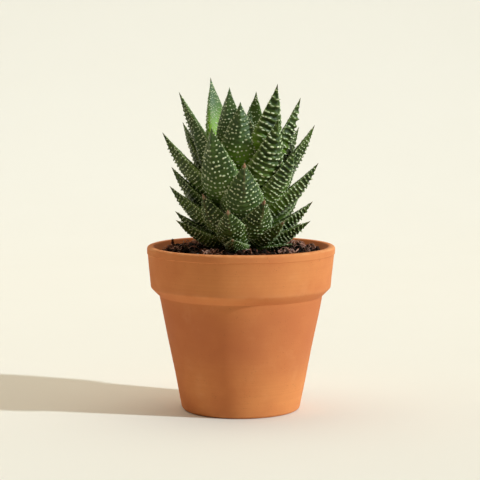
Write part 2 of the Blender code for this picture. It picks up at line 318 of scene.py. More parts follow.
class Sketch:
    """Adds shader nodes to a tree and links them."""

    def __init__(self, tree: bpy.types.NodeTree) -> None:
        """Keeps the tree that nodes are added to."""
        self.tree = tree

    def add(self, kind: str, **settings: object) -> bpy.types.Node:
        """Adds a node.

        Args:
            kind: The node's type.
            **settings: Properties to set on it.

        Returns:
            The new node.
        """
        node = self.tree.nodes.new(kind)
        for key, value in settings.items():
            setattr(node, key, value)
        return node

    def feed(self, target: Socket, value: object) -> None:
        """Links a socket to the target, or sets the target's own value.

        Args:
            target: The input socket.
            value: An output socket, a number or a colour.
        """
        if isinstance(value, bpy.types.NodeSocket):
            self.tree.links.new(value, target)
        elif isinstance(value, tuple) and target.type == "RGBA":
            target.default_value = (*value, 1.0)
        else:
            target.default_value = value

    def place(self, stretch: Point | None = None) -> Socket:
        """Object coordinates, in metres, stretched along each axis.

        Args:
            stretch: Factors along x, y and z, if any.

        Returns:
            The vector socket.
        """
        source = self.add("ShaderNodeTexCoord").outputs["Object"]
        if stretch is None:
            return source
        mapping = self.add("ShaderNodeMapping")
        self.feed(mapping.inputs["Vector"], source)
        mapping.inputs["Scale"].default_value = stretch
        return mapping.outputs["Vector"]

    def value(self, name: str) -> Socket:
        """The piece's own value of that name at each point."""
        return self.add("ShaderNodeAttribute", attribute_name=name).outputs["Fac"]

    def noise(self, vector: Socket, scale: float, detail: float = 2.0, roughness: float = 0.5) -> Socket:
        """Soft noise between 0 and 1.

        Args:
            vector: Where it is read.
            scale: Blobs to the metre.
            detail: Octaves of finer noise.
            roughness: Share of each finer octave.

        Returns:
            The noise value's socket.
        """
        node = self.add("ShaderNodeTexNoise")
        self.feed(node.inputs["Vector"], vector)
        node.inputs["Scale"].default_value = scale
        node.inputs["Detail"].default_value = detail
        node.inputs["Roughness"].default_value = roughness
        return node.outputs["Fac"]

    def spread(self, value: Socket, low: float, high: float, start: float = 0.0, end: float = 1.0) -> Socket:
        """Maps a value smoothly from low..high to start..end.

        Args:
            value: The value's socket.
            low: Value that gives start.
            high: Value that gives end.
            start: Result at low.
            end: Result at high.

        Returns:
            The result's socket.
        """
        node = self.add("ShaderNodeMapRange", interpolation_type="SMOOTHSTEP")
        self.feed(node.inputs["Value"], value)
        for key, number in (("From Min", low), ("From Max", high), ("To Min", start), ("To Max", end)):
            node.inputs[key].default_value = number
        return node.outputs["Result"]

    def combine(self, kind: str, first: object, second: object) -> Socket:
        """One step of arithmetic on two values.

        Args:
            kind: The operation, such as ADD or MULTIPLY.
            first: Socket or number.
            second: Socket or number.

        Returns:
            The result's socket.
        """
        node = self.add("ShaderNodeMath", operation=kind)
        self.feed(node.inputs[0], first)
        self.feed(node.inputs[1], second)
        return node.outputs[0]

    def mix(self, share: object, first: object, second: object) -> Socket:
        """Mixes two colours.

        Args:
            share: Socket or number, 0 for the first colour and 1 for the second.
            first: Socket or colour.
            second: Socket or colour.

        Returns:
            The colour's socket.
        """
        node = self.add("ShaderNodeMix", data_type="RGBA")
        self.feed(node.inputs[MIX_SHARE], share)
        self.feed(node.inputs[MIX_FIRST], first)
        self.feed(node.inputs[MIX_SECOND], second)
        return node.outputs[MIX_RESULT]

    def bump(self, height: Socket, depth: float, strength: float) -> Socket:
        """A normal that follows a height.

        Args:
            height: Socket of a height between 0 and 1.
            depth: Its full depth in metres.
            strength: Share of the effect.

        Returns:
            The normal's socket.
        """
        node = self.add("ShaderNodeBump")
        self.feed(node.inputs["Height"], height)
        node.inputs["Distance"].default_value = depth
        node.inputs["Strength"].default_value = strength
        return node.outputs["Normal"]

    def group(self, tree: bpy.types.NodeTree, **inputs: object) -> bpy.types.Node:
        """Places a shared effect.

        Args:
            tree: The effect.
            **inputs: What to feed its inputs, by name.

        Returns:
            The new node.
        """
        node = self.add("ShaderNodeGroup", node_tree=tree)
        for key, value in inputs.items():
            self.feed(node.inputs[key], value)
        return node


    def mottle(
        self, place: Socket, dark: Colour, light: Colour, size: float, contrast: float
    ) -> bpy.types.Node:
        """Two tones in soft blotches.

        Args:
            place: Where the pattern is read.
            dark: The darker tone.
            light: The lighter tone.
            size: Blotches to the metre.
            contrast: How sharply the tones part.

        Returns:
            The node, whose outputs are the colour and a mask that is 1 on the lighter tone.
        """
        tones = {"Dark": dark, "Light": light}
        return self.group(mottle_group(), Vector=place, Size=size, **tones, Contrast=contrast)


class EffectSketch(Sketch):
    """A sketch of a shared effect, which is a node group with named inputs and outputs."""

    def __init__(self, name: str, inputs: dict[str, str], outputs: dict[str, str]) -> None:
        """Starts the effect.

        Args:
            name: Its name.
            inputs: Kind of each input socket, by name.
            outputs: Kind of each output socket, by name.
        """
        super().__init__(bpy.data.node_groups.new(name, "ShaderNodeTree"))
        for way, sockets in (("INPUT", inputs), ("OUTPUT", outputs)):
            for key, kind in sockets.items():
                self.tree.interface.new_socket(name=key, in_out=way, socket_type="NodeSocket" + kind)
        self.start = self.add("NodeGroupInput")
        self.end = self.add("NodeGroupOutput")


def mottle_group() -> bpy.types.NodeTree:
    """Shared effect: two tones in soft blotches with finer ones in them.

    Returns:
        The effect, made when it is first asked for.
    """
    found = bpy.data.node_groups.get("Mottle")
    if found:
        return found
    kinds = {"Vector": "Vector", "Size": "Float", "Dark": "Color", "Light": "Color", "Contrast": "Float"}
    sketch = EffectSketch("Mottle", kinds, {"Color": "Color", "Mask": "Float"})
    read = sketch.start.outputs
    blotch = sketch.add("ShaderNodeTexNoise")
    sketch.feed(blotch.inputs["Vector"], read["Vector"])
    sketch.feed(blotch.inputs["Scale"], read["Size"])
    blotch.inputs["Detail"].default_value = 5.0
    blotch.inputs["Roughness"].default_value = 0.6
    centred = sketch.combine("SUBTRACT", blotch.outputs["Fac"], 0.5)
    scaled = sketch.combine("MULTIPLY", centred, read["Contrast"])
    share = sketch.spread(sketch.combine("ADD", scaled, 0.5), 0.0, 1.0)
    colour = sketch.mix(share, read["Dark"], read["Light"])
    sketch.feed(sketch.end.inputs["Color"], colour)
    sketch.feed(sketch.end.inputs["Mask"], share)
    return sketch.tree


def grain_group() -> bpy.types.NodeTree:
    """Shared effect: the height of a fine grain with scattered pits.

    Returns:
        The effect, made when it is first asked for.
    """
    found = bpy.data.node_groups.get("Grain")
    if found:
        return found
    kinds = {"Vector": "Vector", "Size": "Float", "Pits": "Float"}
    sketch = EffectSketch("Grain", kinds, {"Height": "Float", "Pit": "Float"})
    read = sketch.start.outputs
    fine = sketch.add("ShaderNodeTexNoise")
    sketch.feed(fine.inputs["Vector"], read["Vector"])
    sketch.feed(fine.inputs["Scale"], read["Size"])
    fine.inputs["Detail"].default_value = 4.0
    cells = sketch.add("ShaderNodeTexVoronoi")
    sketch.feed(cells.inputs["Vector"], read["Vector"])
    sketch.feed(cells.inputs["Scale"], sketch.combine("MULTIPLY", read["Size"], 0.4))
    hole = sketch.spread(cells.outputs["Distance"], 0.10, 0.24, 1.0, 0.0)
    picked = sketch.spread(sketch.noise(read["Vector"], 260.0, 1.0), 0.56, 0.64)
    pit = sketch.combine("MULTIPLY", sketch.combine("MULTIPLY", hole, picked), read["Pits"])
    sketch.feed(sketch.end.inputs["Height"], sketch.combine("SUBTRACT", fine.outputs["Fac"], pit))
    sketch.feed(sketch.end.inputs["Pit"], pit)
    return sketch.tree


class Finish:
    """A surface finish, which makes its material once.

    In every finish, blotches and grain are counted to the metre, pits is the depth of the grain's pits
    as a share of its own, and relief is the depth of the whole in metres.
    """

    name: str
    made: ClassVar[dict["Finish", bpy.types.Material]] = {}

    def material(self) -> bpy.types.Material:
        """The finish's material.

        Returns:
            The material, made when it is first asked for.
        """
        if self in Finish.made:
            return Finish.made[self]
        made = bpy.data.materials.new(self.name)
        Finish.made[self] = made
        made.use_nodes = True
        self.dress(Sketch(made.node_tree), made.node_tree.nodes["Principled BSDF"])
        return made

    def dress(self, sketch: Sketch, shader: Shader) -> None:
        """Feeds the shader. Each finish has its own way."""
        raise NotImplementedError


@dataclass(frozen=True)
class ClayFinish(Finish):
    """Unglazed fired clay: warm blotches, turning lines, a band of painted shade that leaves the foot and rim
    lighter, a darker inside of the mouth, pale edges that are partly wear and partly painted highlight, and
    fine pits.
    """

    name: str = "fired_clay"
    dark: Colour = (0.620, 0.190, 0.063)
    light: Colour = (0.775, 0.295, 0.092)
    # Darker tone used as painted shade over the body's middle, so that the foot and rim read lighter as floor
    # bounce light would make them; it also darkens the inside of the mouth.
    damp: Colour = (0.565, 0.170, 0.060)
    bloom: Colour = (0.800, 0.380, 0.160)
    soot: Colour = (0.330, 0.100, 0.035)
    blotches: float = 26.0
    contrast: float = 1.6
    line_stretch: Point = (6.0, 6.0, 900.0)
    grain: float = 2100.0
    pits: float = 0.9
    relief: float = 0.00012

    def dress(self, sketch: Sketch, shader: Shader) -> None:
        """Blotches with turning lines and bloom for the colour, with painted shade over the body's middle and
        a painted highlight mixed with wear on the edges, and grain with lines for the relief.

        Args:
            sketch: The material's sketch.
            shader: Its Principled shader.
        """
        place = sketch.place()
        body = sketch.mottle(place, self.dark, self.light, self.blotches, self.contrast)
        lines = sketch.noise(sketch.place(self.line_stretch), 1.0, 3.0, 0.6)
        colour = sketch.mix(sketch.spread(lines, 0.35, 0.75, 0.0, 0.22), body.outputs["Color"], self.dark)
        # Painted shade: the body's middle is darkened by height, leaving the foot and rim lighter in place of
        # floor bounce light; the inside of the mouth is darkened too.
        patchy = sketch.spread(sketch.noise(place, 45.0, 4.0), 0.25, 0.75, 0.65, 0.95)
        colour = sketch.mix(sketch.combine("MULTIPLY", sketch.value("damp"), patchy), colour, self.damp)
        # Paler edges at the lip, the band's lower edge and the foot: partly worn clay and partly a painted
        # highlight on the lip's and the band's edges.
        wear = sketch.value("wear")
        edge_wear_and_highlight = sketch.combine("MULTIPLY", wear, sketch.spread(sketch.noise(place, 190.0, 4.0), 0.3, 0.7))
        colour = sketch.mix(sketch.combine("MULTIPLY", edge_wear_and_highlight, 0.75), colour, self.bloom)
        film = sketch.spread(sketch.noise(place, 60.0, 6.0, 0.65), 0.56, 0.76, 0.0, 0.15)
        colour = sketch.mix(film, colour, self.bloom)
        grain = sketch.group(grain_group(), Vector=place, Size=self.grain, Pits=self.pits)
        colour = sketch.mix(sketch.combine("MULTIPLY", grain.outputs["Pit"], 0.6), colour, self.soot)
        sketch.feed(shader.inputs["Base Color"], colour)
        sketch.feed(shader.inputs["Roughness"], sketch.spread(body.outputs["Mask"], 0.0, 1.0, 0.86, 0.72))
        height = sketch.combine("ADD", grain.outputs["Height"], sketch.combine("MULTIPLY", lines, 0.8))
        sketch.feed(shader.inputs["Normal"], sketch.bump(height, self.relief, 0.55))
        shader.inputs["Specular IOR Level"].default_value = 0.18


@dataclass(frozen=True)
class SkinFinish(Finish):
    """Leaf skin: deep green, paler at the base, on ribs and inside, darkened by painted shade between the
    ribs, waxy, brown or red in places.
    """

    name: str = "leaf_skin"
    dark: Colour = (0.014, 0.030, 0.003)
    light: Colour = (0.066, 0.106, 0.013)
    rib: Colour = (0.165, 0.240, 0.060)
    inside: Colour = (0.080, 0.140, 0.026)
    wax: Colour = (0.090, 0.155, 0.055)
    base: Colour = (0.220, 0.400, 0.022)
    brown: Colour = (0.090, 0.048, 0.024)
    red: Colour = (0.480, 0.220, 0.140)
    blotches: float = 140.0
    contrast: float = 2.6
    grain: float = 2600.0
    pits: float = 0.3
    relief: float = 0.00008

    def dress(self, sketch: Sketch, shader: Shader) -> None:
        """Layers the tones by the leaf's own values, with painted shade in the valleys between ribs, and
        gives a satin surface with a fine grain.

        Args:
            sketch: The material's sketch.
            shader: Its Principled shader.
        """
        place = sketch.place()
        body = sketch.mottle(place, self.dark, self.light, self.blotches, self.contrast)
        row = sketch.value("rib")
        # Painted shade: the skin is darkened in the valleys between the ribs; the ridges take the paler rib
        # tone.
        colour = sketch.mix(sketch.spread(row, 0.0, 0.55, 0.55, 0.0), body.outputs["Color"], self.dark)
        colour = sketch.mix(sketch.spread(row, 0.62, 1.0, 0.0, 0.72), colour, self.rib)
        colour = sketch.mix(sketch.value("margin"), colour, self.rib)
        colour = sketch.mix(sketch.combine("MULTIPLY", sketch.value("inner"), 0.6), colour, self.inside)
        colour = sketch.mix(sketch.value("wax"), colour, self.wax)
        colour = sketch.mix(sketch.value("pale"), colour, self.base)
        ragged = sketch.spread(sketch.noise(place, 420.0, 3.0), 0.2, 0.8, 0.5, 1.0)
        colour = sketch.mix(sketch.combine("MULTIPLY", sketch.value("brown"), ragged), colour, self.brown)
        colour = sketch.mix(sketch.combine("MULTIPLY", sketch.value("red"), ragged), colour, self.red)
        sketch.feed(shader.inputs["Base Color"], colour)
        grain = sketch.group(grain_group(), Vector=place, Size=self.grain, Pits=self.pits)
        sketch.feed(shader.inputs["Roughness"], sketch.spread(body.outputs["Mask"], 0.0, 1.0, 0.52, 0.40))
        sketch.feed(shader.inputs["Normal"], sketch.bump(grain.outputs["Height"], self.relief, 0.6))
        shader.inputs["Specular IOR Level"].default_value = 0.22
        shader.inputs["Subsurface Weight"].default_value = 0.10
        shader.inputs["Subsurface Radius"].default_value = (0.5, 1.0, 0.25)
        shader.inputs["Subsurface Scale"].default_value = 0.0015


@dataclass(frozen=True)
class PearlFinish(Finish):
    """The raised bumps and marginal teeth: green at their foot and waxy white on top."""

    name: str = "leaf_pearls"
    foot: Colour = (0.090, 0.155, 0.035)
    top: Colour = (0.560, 0.640, 0.330)
    white: Colour = (0.850, 0.880, 0.600)
    old: Colour = (0.330, 0.250, 0.130)
    blotches: float = 520.0
    contrast: float = 3.0
    grain: float = 3200.0
    pits: float = 0.2
    relief: float = 0.00005

    def dress(self, sketch: Sketch, shader: Shader) -> None:
        """Mixes from foot to top by the bump's own height, with some bumps whiter than others.

        Args:
            sketch: The material's sketch.
            shader: Its Principled shader.
        """
        place = sketch.place()
        wax = sketch.mottle(place, self.top, self.white, self.blotches, self.contrast)
        crown = sketch.spread(sketch.value("crown"), 0.15, 0.70)
        colour = sketch.mix(crown, self.foot, wax.outputs["Color"])
        colour = sketch.mix(sketch.combine("MULTIPLY", sketch.value("brown"), 0.75), colour, self.old)
        sketch.feed(shader.inputs["Base Color"], colour)
        sketch.feed(shader.inputs["Roughness"], sketch.spread(wax.outputs["Mask"], 0.0, 1.0, 0.42, 0.30))
        grain = sketch.group(grain_group(), Vector=place, Size=self.grain, Pits=self.pits)
        sketch.feed(shader.inputs["Normal"], sketch.bump(grain.outputs["Height"], self.relief, 0.5))


@dataclass(frozen=True)
class CrumbFinish(Finish):
    """Rough organic matter in two tones with flecks of a third: soil, bark, dry fibre or mineral grit."""

    name: str
    dark: Colour
    light: Colour
    fleck: Colour
    blotches: float = 300.0
    contrast: float = 3.2
    roughness: float = 0.92
    grain: float = 1500.0
    pits: float = 0.7
    relief: float = 0.00030

    def dress(self, sketch: Sketch, shader: Shader) -> None:
        """Blotches with scattered flecks for the colour, and a coarse grain for the relief.

        Args:
            sketch: The material's sketch.
            shader: Its Principled shader.
        """
        place = sketch.place()
        body = sketch.mottle(place, self.dark, self.light, self.blotches, self.contrast)
        flecks = sketch.spread(sketch.noise(place, self.blotches * 3.1, 2.0), 0.62, 0.70)
        sketch.feed(shader.inputs["Base Color"], sketch.mix(flecks, body.outputs["Color"], self.fleck))
        grain = sketch.group(grain_group(), Vector=place, Size=self.grain, Pits=self.pits)
        rough = sketch.spread(grain.outputs["Height"], 0.2, 0.8, self.roughness, self.roughness - 0.12)
        sketch.feed(shader.inputs["Roughness"], rough)
        sketch.feed(shader.inputs["Normal"], sketch.bump(grain.outputs["Height"], self.relief, 0.9))
        shader.inputs["Specular IOR Level"].default_value = 0.15


@dataclass(frozen=True)
class StemFinish(Finish):
    """The short rootstock: pale green above, corky brown where it meets the soil."""

    name: str = "rootstock"
    green: Colour = (0.090, 0.160, 0.030)
    fresh: Colour = (0.190, 0.320, 0.050)
    cork: Colour = (0.170, 0.105, 0.055)
    blotches: float = 180.0
    contrast: float = 2.5
    grain: float = 1700.0
    pits: float = 0.6
    relief: float = 0.0002

    def dress(self, sketch: Sketch, shader: Shader) -> None:
        """Two greens in blotches, browned by the stem's own value of cork.

        Args:
            sketch: The material's sketch.
            shader: Its Principled shader.
        """
        place = sketch.place()
        body = sketch.mottle(place, self.green, self.fresh, self.blotches, self.contrast)
        colour = sketch.mix(sketch.value("cork"), body.outputs["Color"], self.cork)
        sketch.feed(shader.inputs["Base Color"], colour)
        sketch.feed(shader.inputs["Roughness"], sketch.spread(body.outputs["Mask"], 0.0, 1.0, 0.7, 0.55))
        grain = sketch.group(grain_group(), Vector=place, Size=self.grain, Pits=self.pits)
        sketch.feed(shader.inputs["Normal"], sketch.bump(grain.outputs["Height"], self.relief, 0.7))


@dataclass(frozen=True)
class PaperFinish(Finish):
    """The seamless paper that the pot stands on."""

    name: str = "seamless_paper"
    tone: Colour = (0.838, 0.806, 0.755)
    shade: Colour = (0.828, 0.794, 0.740)
    blotches: float = 3.0
    contrast: float = 2.0

    def dress(self, sketch: Sketch, shader: Shader) -> None:
        """A plain tone with a trace of variation.

        Args:
            sketch: The material's sketch.
            shader: Its Principled shader.
        """
        place = sketch.place()
        body = sketch.mottle(place, self.shade, self.tone, self.blotches, self.contrast)
        sketch.feed(shader.inputs["Base Color"], body.outputs["Color"])
        shader.inputs["Roughness"].default_value = 0.9
        shader.inputs["Specular IOR Level"].default_value = 0.1


SOIL = CrumbFinish(
    name="crumbly_soil",
    dark=(0.003, 0.002, 0.001),
    light=(0.014, 0.008, 0.005),
    fleck=(0.060, 0.034, 0.020),
)
CRUMB = CrumbFinish(
    name="peat_crumb",
    dark=(0.003, 0.0015, 0.001),
    light=(0.030, 0.013, 0.007),
    fleck=(0.130, 0.048, 0.027),
    blotches=260.0,
)
SHARD = CrumbFinish(
    name="wood_shard",
    dark=(0.270, 0.105, 0.075),
    light=(0.660, 0.370, 0.280),
    fleck=(0.860, 0.600, 0.500),
    blotches=330.0,
    roughness=0.85,
)
BARK = CrumbFinish(
    name="torn_bark",
    dark=(0.022, 0.009, 0.005),
    light=(0.180, 0.058, 0.030),
    fleck=(0.280, 0.140, 0.080),
    blotches=260.0,
    roughness=0.85,
)
FIBRE = CrumbFinish(
    name="dry_fibre",
    dark=(0.300, 0.130, 0.090),
    light=(0.640, 0.390, 0.300),
    fleck=(0.840, 0.620, 0.520),
    blotches=240.0,
    roughness=0.8,
    relief=0.00008,
)
GRIT = CrumbFinish(
    name="mineral_grit",
    dark=(0.420, 0.380, 0.320),
    light=(0.700, 0.660, 0.580),
    fleck=(0.820, 0.800, 0.740),
    blotches=700.0,
    roughness=0.9,
    relief=0.0001,
)


# ---------------------------------------------------------------------------------------------------
# Pot


ARC_STEPS = 7
PROFILE_STEP = 1.6 * MM


def corner_arc(before: Array, corner: Array, after: Array, radius: float, steps: int) -> Array:
    """Points of a round at the corner of two straight runs.

    The round's centre lies on the corner's bisector, the radius over the sine of half the corner's
    angle away, and its points turn about it from one run to the other.

    Args:
        before: End of the run that comes in.
        corner: The corner.
        after: End of the run that goes out.
        radius: Radius of the round.
        steps: Number of chords.

    Returns:
        The points, one to a row.
    """
    to_before = (before - corner) / np.linalg.norm(before - corner)
    to_after = (after - corner) / np.linalg.norm(after - corner)
    half = math.acos(float(np.clip(to_before @ to_after, -1.0, 1.0))) / 2.0
    start = corner + to_before * radius / math.tan(half)
    bisector = to_before + to_after
    centre = corner + bisector / np.linalg.norm(bisector) * radius / math.sin(half)
    across = start - centre
    turn = math.pi - 2.0 * half
    if to_before[0] * to_after[1] - to_before[1] * to_after[0] > 0.0:
        turn = -turn
    angle = turn * np.arange(steps + 1) / steps
    return np.stack(
        [
            centre[0] + across[0] * np.cos(angle) - across[1] * np.sin(angle),
            centre[1] + across[0] * np.sin(angle) + across[1] * np.cos(angle),
        ],
        axis=-1,
    )


def refined(profile: Array, step: float) -> Array:
    """Points of a closed profile with more put in, so that none are further apart than a step.

    The profile is read along its length at its own corners and at even steps between them.

    Args:
        profile: The profile's corners.
        step: Greatest distance between points.

    Returns:
        The finer profile.
    """
    loop = np.concatenate([profile, profile[:1]])
    length = np.concatenate([[0.0], np.cumsum(np.linalg.norm(np.diff(loop, axis=0), axis=1))])
    even = np.arange(0.0, length[-1], step)
    gap = np.abs(even[:, None] - length[None]).min(axis=1)
    at = np.sort(np.concatenate([length[:-1], even[gap > 0.3 * step]]))
    return np.stack([np.interp(at, length, loop[:, 0]), np.interp(at, length, loop[:, 1])], axis=-1)


@dataclass
class ClayPot:
    """The turned clay pot: a tapered wall, a deep rim band with a lip, and a floor with a drain hole.

    Attributes:
        height: Height of the lip.
        rim_radius: Radius of the lip.
        foot_radius: Radius of the foot.
        rim_side: Height of the rim band's side.
        rim_underside: Height of the turn under it.
        rim_taper: How much narrower the band is at its lower edge.
        rim_overhang: How far that edge stands out from the body.
        lip_height: Height of the lip's own band.
        lip_proud: How far it stands out.
        wall: Thickness of the wall.
        mouth_flare: How much wider the inside is at the lip.
        mouth_depth: How far down the flare starts.
        floor: Thickness of the floor.
        drain_radius: Radius of the drain hole.
        sway: Waviness of the wall, and the span of its waves.
        tool_lines: Depth of the turning lines, and their pitch.
        lip_sway: Waviness of the lip, and the span of its waves.
        painted_shade_rise: Heights between which the band of painted shade starts, leaving the foot lighter.
        painted_shade_fall: Heights between which it ends.
        painted_shade_faded: Share of it that fades above that, leaving the rim lighter.
        shade_band_stray: How far the band's edges stray, and the span of that.
        columns: Points round the pot.
        finish: Its finish.
    """

    height: float
    rim_radius: float
    foot_radius: float = 34.0 * MM
    rim_side: float = 23.8 * MM
    rim_underside: float = 4.8 * MM
    rim_taper: float = 2.2 * MM
    rim_overhang: float = 4.9 * MM
    lip_height: float = 4.2 * MM
    lip_proud: float = 0.3 * MM
    wall: float = 4.8 * MM
    mouth_flare: float = 2.6 * MM
    mouth_depth: float = 6.0 * MM
    floor: float = 6.2 * MM
    drain_radius: float = 6.0 * MM
    sway: tuple[float, float] = (0.10 * MM, 34.0 * MM)
    tool_lines: tuple[float, float] = (0.02 * MM, 2.4 * MM)
    lip_sway: tuple[float, float] = (0.05 * MM, 60.0 * MM)
    # Band of painted shade: the body's middle is darkened by height so that the foot and rim read lighter, in
    # place of floor bounce light.
    painted_shade_rise: tuple[float, float] = (10.0 * MM, 46.0 * MM)
    painted_shade_fall: tuple[float, float] = (58.0 * MM, 78.0 * MM)
    painted_shade_faded: float = 0.85
    shade_band_stray: tuple[float, float] = (3.0 * MM, 45.0 * MM)
    columns: int = 240
    finish: Finish = ClayFinish()

    def body_radius(self, height: float | Array) -> float | Array:
        """Radius of the plain outer wall, which widens evenly and is carried on up behind the rim band.

        Args:
            height: Height above the foot.

        Returns:
            The radius.
        """
        top_radius = self.rim_radius - self.rim_taper - self.rim_overhang
        top_height = self.height - self.rim_side - self.rim_underside
        return self.foot_radius + (top_radius - self.foot_radius) / top_height * height

    def inner_radius(self, height: float | Array) -> float | Array:
        """Radius of the inner wall."""
        return self.body_radius(height) - self.wall

    def profile(self) -> Array:
        """Closed section of the wall: down the outside, under the foot, up the drain hole and the inside.

        Each corner is a radius, a height and the radius of its round in millimetres.

        Returns:
            The section's points, each a radius and a height.
        """
        under_lip = self.height - self.lip_height
        rim_low = self.height - self.rim_side
        low_radius = self.rim_radius - self.rim_taper
        body_top = rim_low - self.rim_underside
        mouth = self.height - self.mouth_depth
        corners = (
            (self.rim_radius, self.height, 1.5),
            (self.rim_radius, under_lip, 0.7),
            (self.rim_radius - 1.3 * self.lip_proud, under_lip - 1.5 * self.lip_proud, 0.5),
            (low_radius, rim_low, 2.2),
            (self.body_radius(body_top), body_top, 1.2),
            (self.foot_radius, 0.0, 2.2),
            (self.drain_radius, 0.0, 0.5),
            (self.drain_radius, self.floor, 0.5),
            (self.inner_radius(self.floor), self.floor, 2.5),
            (self.inner_radius(mouth), mouth, 2.0),
            (self.inner_radius(self.height) + self.mouth_flare, self.height, 1.4),
        )
        places = np.array([corner[:2] for corner in corners])
        arcs = [
            corner_arc(places[i - 1], places[i], places[(i + 1) % len(corners)], corner[2] * MM, ARC_STEPS)
            for i, corner in enumerate(corners)
        ]
        return refined(np.concatenate(arcs), PROFILE_STEP)

    def wear(self, section: Array) -> tuple[Array, Array]:
        """Where the clay is paler and where it is darker inside the mouth, by its place on the section.

        It is paler at the lip's outer edge, the band's lower edge and the foot, each fading with the
        distance from it: partly rubbed wear and partly a painted highlight on the lip's and the band's
        edges. It is darker from the lip's top inwards.

        Args:
            section: The section's points, each a radius and a height.

        Returns:
            The shares of paleness, which is wear with a painted highlight, and of darkening inside the mouth.
        """
        radius, height = section.T
        outside = radius > self.inner_radius(height) + 0.5 * self.wall
        # Pale outer edge of the lip: partly wear, partly a painted highlight.
        lip = smooth_step(self.height - 1.6 * MM, self.height - 0.3 * MM, height)
        lip_edge = lip * smooth_step(self.rim_radius - 3.0 * MM, self.rim_radius - 1.2 * MM, radius)
        rim_low = self.height - self.rim_side
        # Pale line along the band's lower edge: partly wear, partly a painted highlight.
        band_edge = np.exp(-(((height - rim_low) / (1.4 * MM)) ** 2)) * outside
        foot = np.exp(-((height / (1.6 * MM)) ** 2)) * outside
        # Darker inside the mouth, from the lip's top inwards.
        mouth_darkening = smooth_step(self.rim_radius - 1.5 * MM, self.rim_radius - 4.0 * MM, radius)
        in_mouth = height > self.height - self.mouth_depth - 2.0 * MM
        return np.clip(0.8 * lip_edge + 0.25 * band_edge + 0.4 * foot, 0.0, 1.0), mouth_darkening * in_mouth

    def make(self) -> bpy.types.Object:
        """Turns the profile about Z, with the slight waviness of a pressed pot.

        A point's angle turns the profile's radius round the axis. The radius wanders by a soft random
        field and by fine lines that depend on height alone.

        Returns:
            The pot's object, which stands for the CAD pot.
        """
        section = self.profile()
        angle = math.tau * np.arange(self.columns) / self.columns
        ones = np.ones((len(section), self.columns))
        radius, height = section[:, :1] * ones, section[:, 1:] * ones
        bare = np.stack([radius * np.sin(angle), -radius * np.cos(angle), height], axis=-1)
        upright = np.stack([0 * height, 0 * height, height], axis=-1)
        lines = ripple(upright, self.tool_lines[1], Seed.POT_LINES)
        sway = self.sway[0] * ripple(bare, self.sway[1], Seed.POT_SWAY) + self.tool_lines[0] * lines
        radius = radius + sway * smooth_step(0.0, 3.0 * MM, height)
        lift = self.lip_sway[0] * ripple(bare, self.lip_sway[1], Seed.POT_LIP)
        height = height + lift * smooth_step(0.5, 1.0, height / self.height)
        points = np.stack([radius * np.sin(angle), -radius * np.cos(angle), height], axis=-1)
        wear, mouth_darkening = self.wear(section)
        # Painted shade: a band over the body's middle, faded on the rim, that leaves the foot and rim lighter
        # as floor bounce light would; the inside of the mouth is darkened as well.
        level = points[..., 2] + self.shade_band_stray[0] * ripple(points, self.shade_band_stray[1], Seed.POT_PAINTED_SHADE)
        faded_share = self.painted_shade_faded * smooth_step(*self.painted_shade_fall, level)
        damp = np.maximum(smooth_step(*self.painted_shade_rise, level) * (1.0 - faded_share), mouth_darkening[:, None])
        piece = Piece("clay_pot")
        faces = (ring_faces(len(section), self.columns),)
        piece.add(points.reshape(-1, 3), faces, wear=(wear[:, None] * ones).ravel(), damp=damp.ravel())
        return piece.make([self.finish], "terracotta", "pot")


# ---------------------------------------------------------------------------------------------------
# Soil

# Where loose litter gathers, from above, and the number of fibres in each clump.
CLUMPS = MM * np.array(
    [
        [33.5, 20.0],
        [-29.0, 14.0],
        [-15.0, -30.0],
        [40.0, 4.0],
        [-38.0, -6.0],
        [18.0, 36.0],
        [26.0, -24.0],
        [-20.0, 33.0],
    ]
)
CLUMP_FIBRES = (20, 14, 12, 9, 9, 8, 8, 6)
LOOSE_FIBRES = 34
# How far the lumps of a clump lie from its middle.
CLUMP_SPREAD = 3.0 * MM
# A power that makes most lumps small.
SMALL_BIAS = 2.2
# Columns and ring heights of the balls that lumps and bumps are shaped from.
LUMP_BALL = (6, (-0.5, 0.35))
BUMP_BALL = (8, (-0.45, 0.12, 0.62))
CHIP_BALL = (28, tuple(np.sin(np.linspace(-1.35, 1.35, 15))))


@dataclass(frozen=True)
class Litter:
    """One kind of small lump strewn over the soil.

    Attributes:
        name: The piece's name.
        finish: Its finish.
        slot: The record's material slot.
        count: Number of lumps.
        size: Least and greatest half size, in millimetres.
        shape: Stretch along the three axes.
        clumped: Share of them that lie in the clumps.
        seed: Seed of the random draws.
    """

    name: str
    finish: Finish
    slot: str
    count: int
    size: tuple[float, float]
    shape: Point
    clumped: float
    seed: Seed


@dataclass(frozen=True)
class Chip:
    """A larger bark chip, with its CAD node, the share of its width lost at the top, and its seed."""

    node: str
    taper: float
    seed: Seed


LITTER = (
    Litter("peat_crumbs", CRUMB, "potting_soil", 1100, (0.5, 2.3), (1.0, 0.8, 0.65), 0.15, Seed.PEAT_CRUMBS),
    Litter("bark_bits", BARK, "bark", 320, (0.5, 2.2), (1.25, 0.6, 0.35), 0.3, Seed.BARK_BITS),
    Litter("wood_shards", SHARD, "bark", 420, (0.5, 2.0), (1.7, 0.30, 0.22), 0.85, Seed.WOOD_SHARDS),
    Litter("pale_grit", GRIT, "potting_soil", 46, (0.25, 0.55), (1.0, 0.9, 0.8), 0.2, Seed.PALE_GRIT),
)
CHIPS = (
    Chip("bark_chip_left", 0.6, Seed.CHIP_LEFT),
    Chip("bark_chip_right", 0.25, Seed.CHIP_RIGHT),
    Chip("bark_chip_back", 0.2, Seed.CHIP_BACK),
)


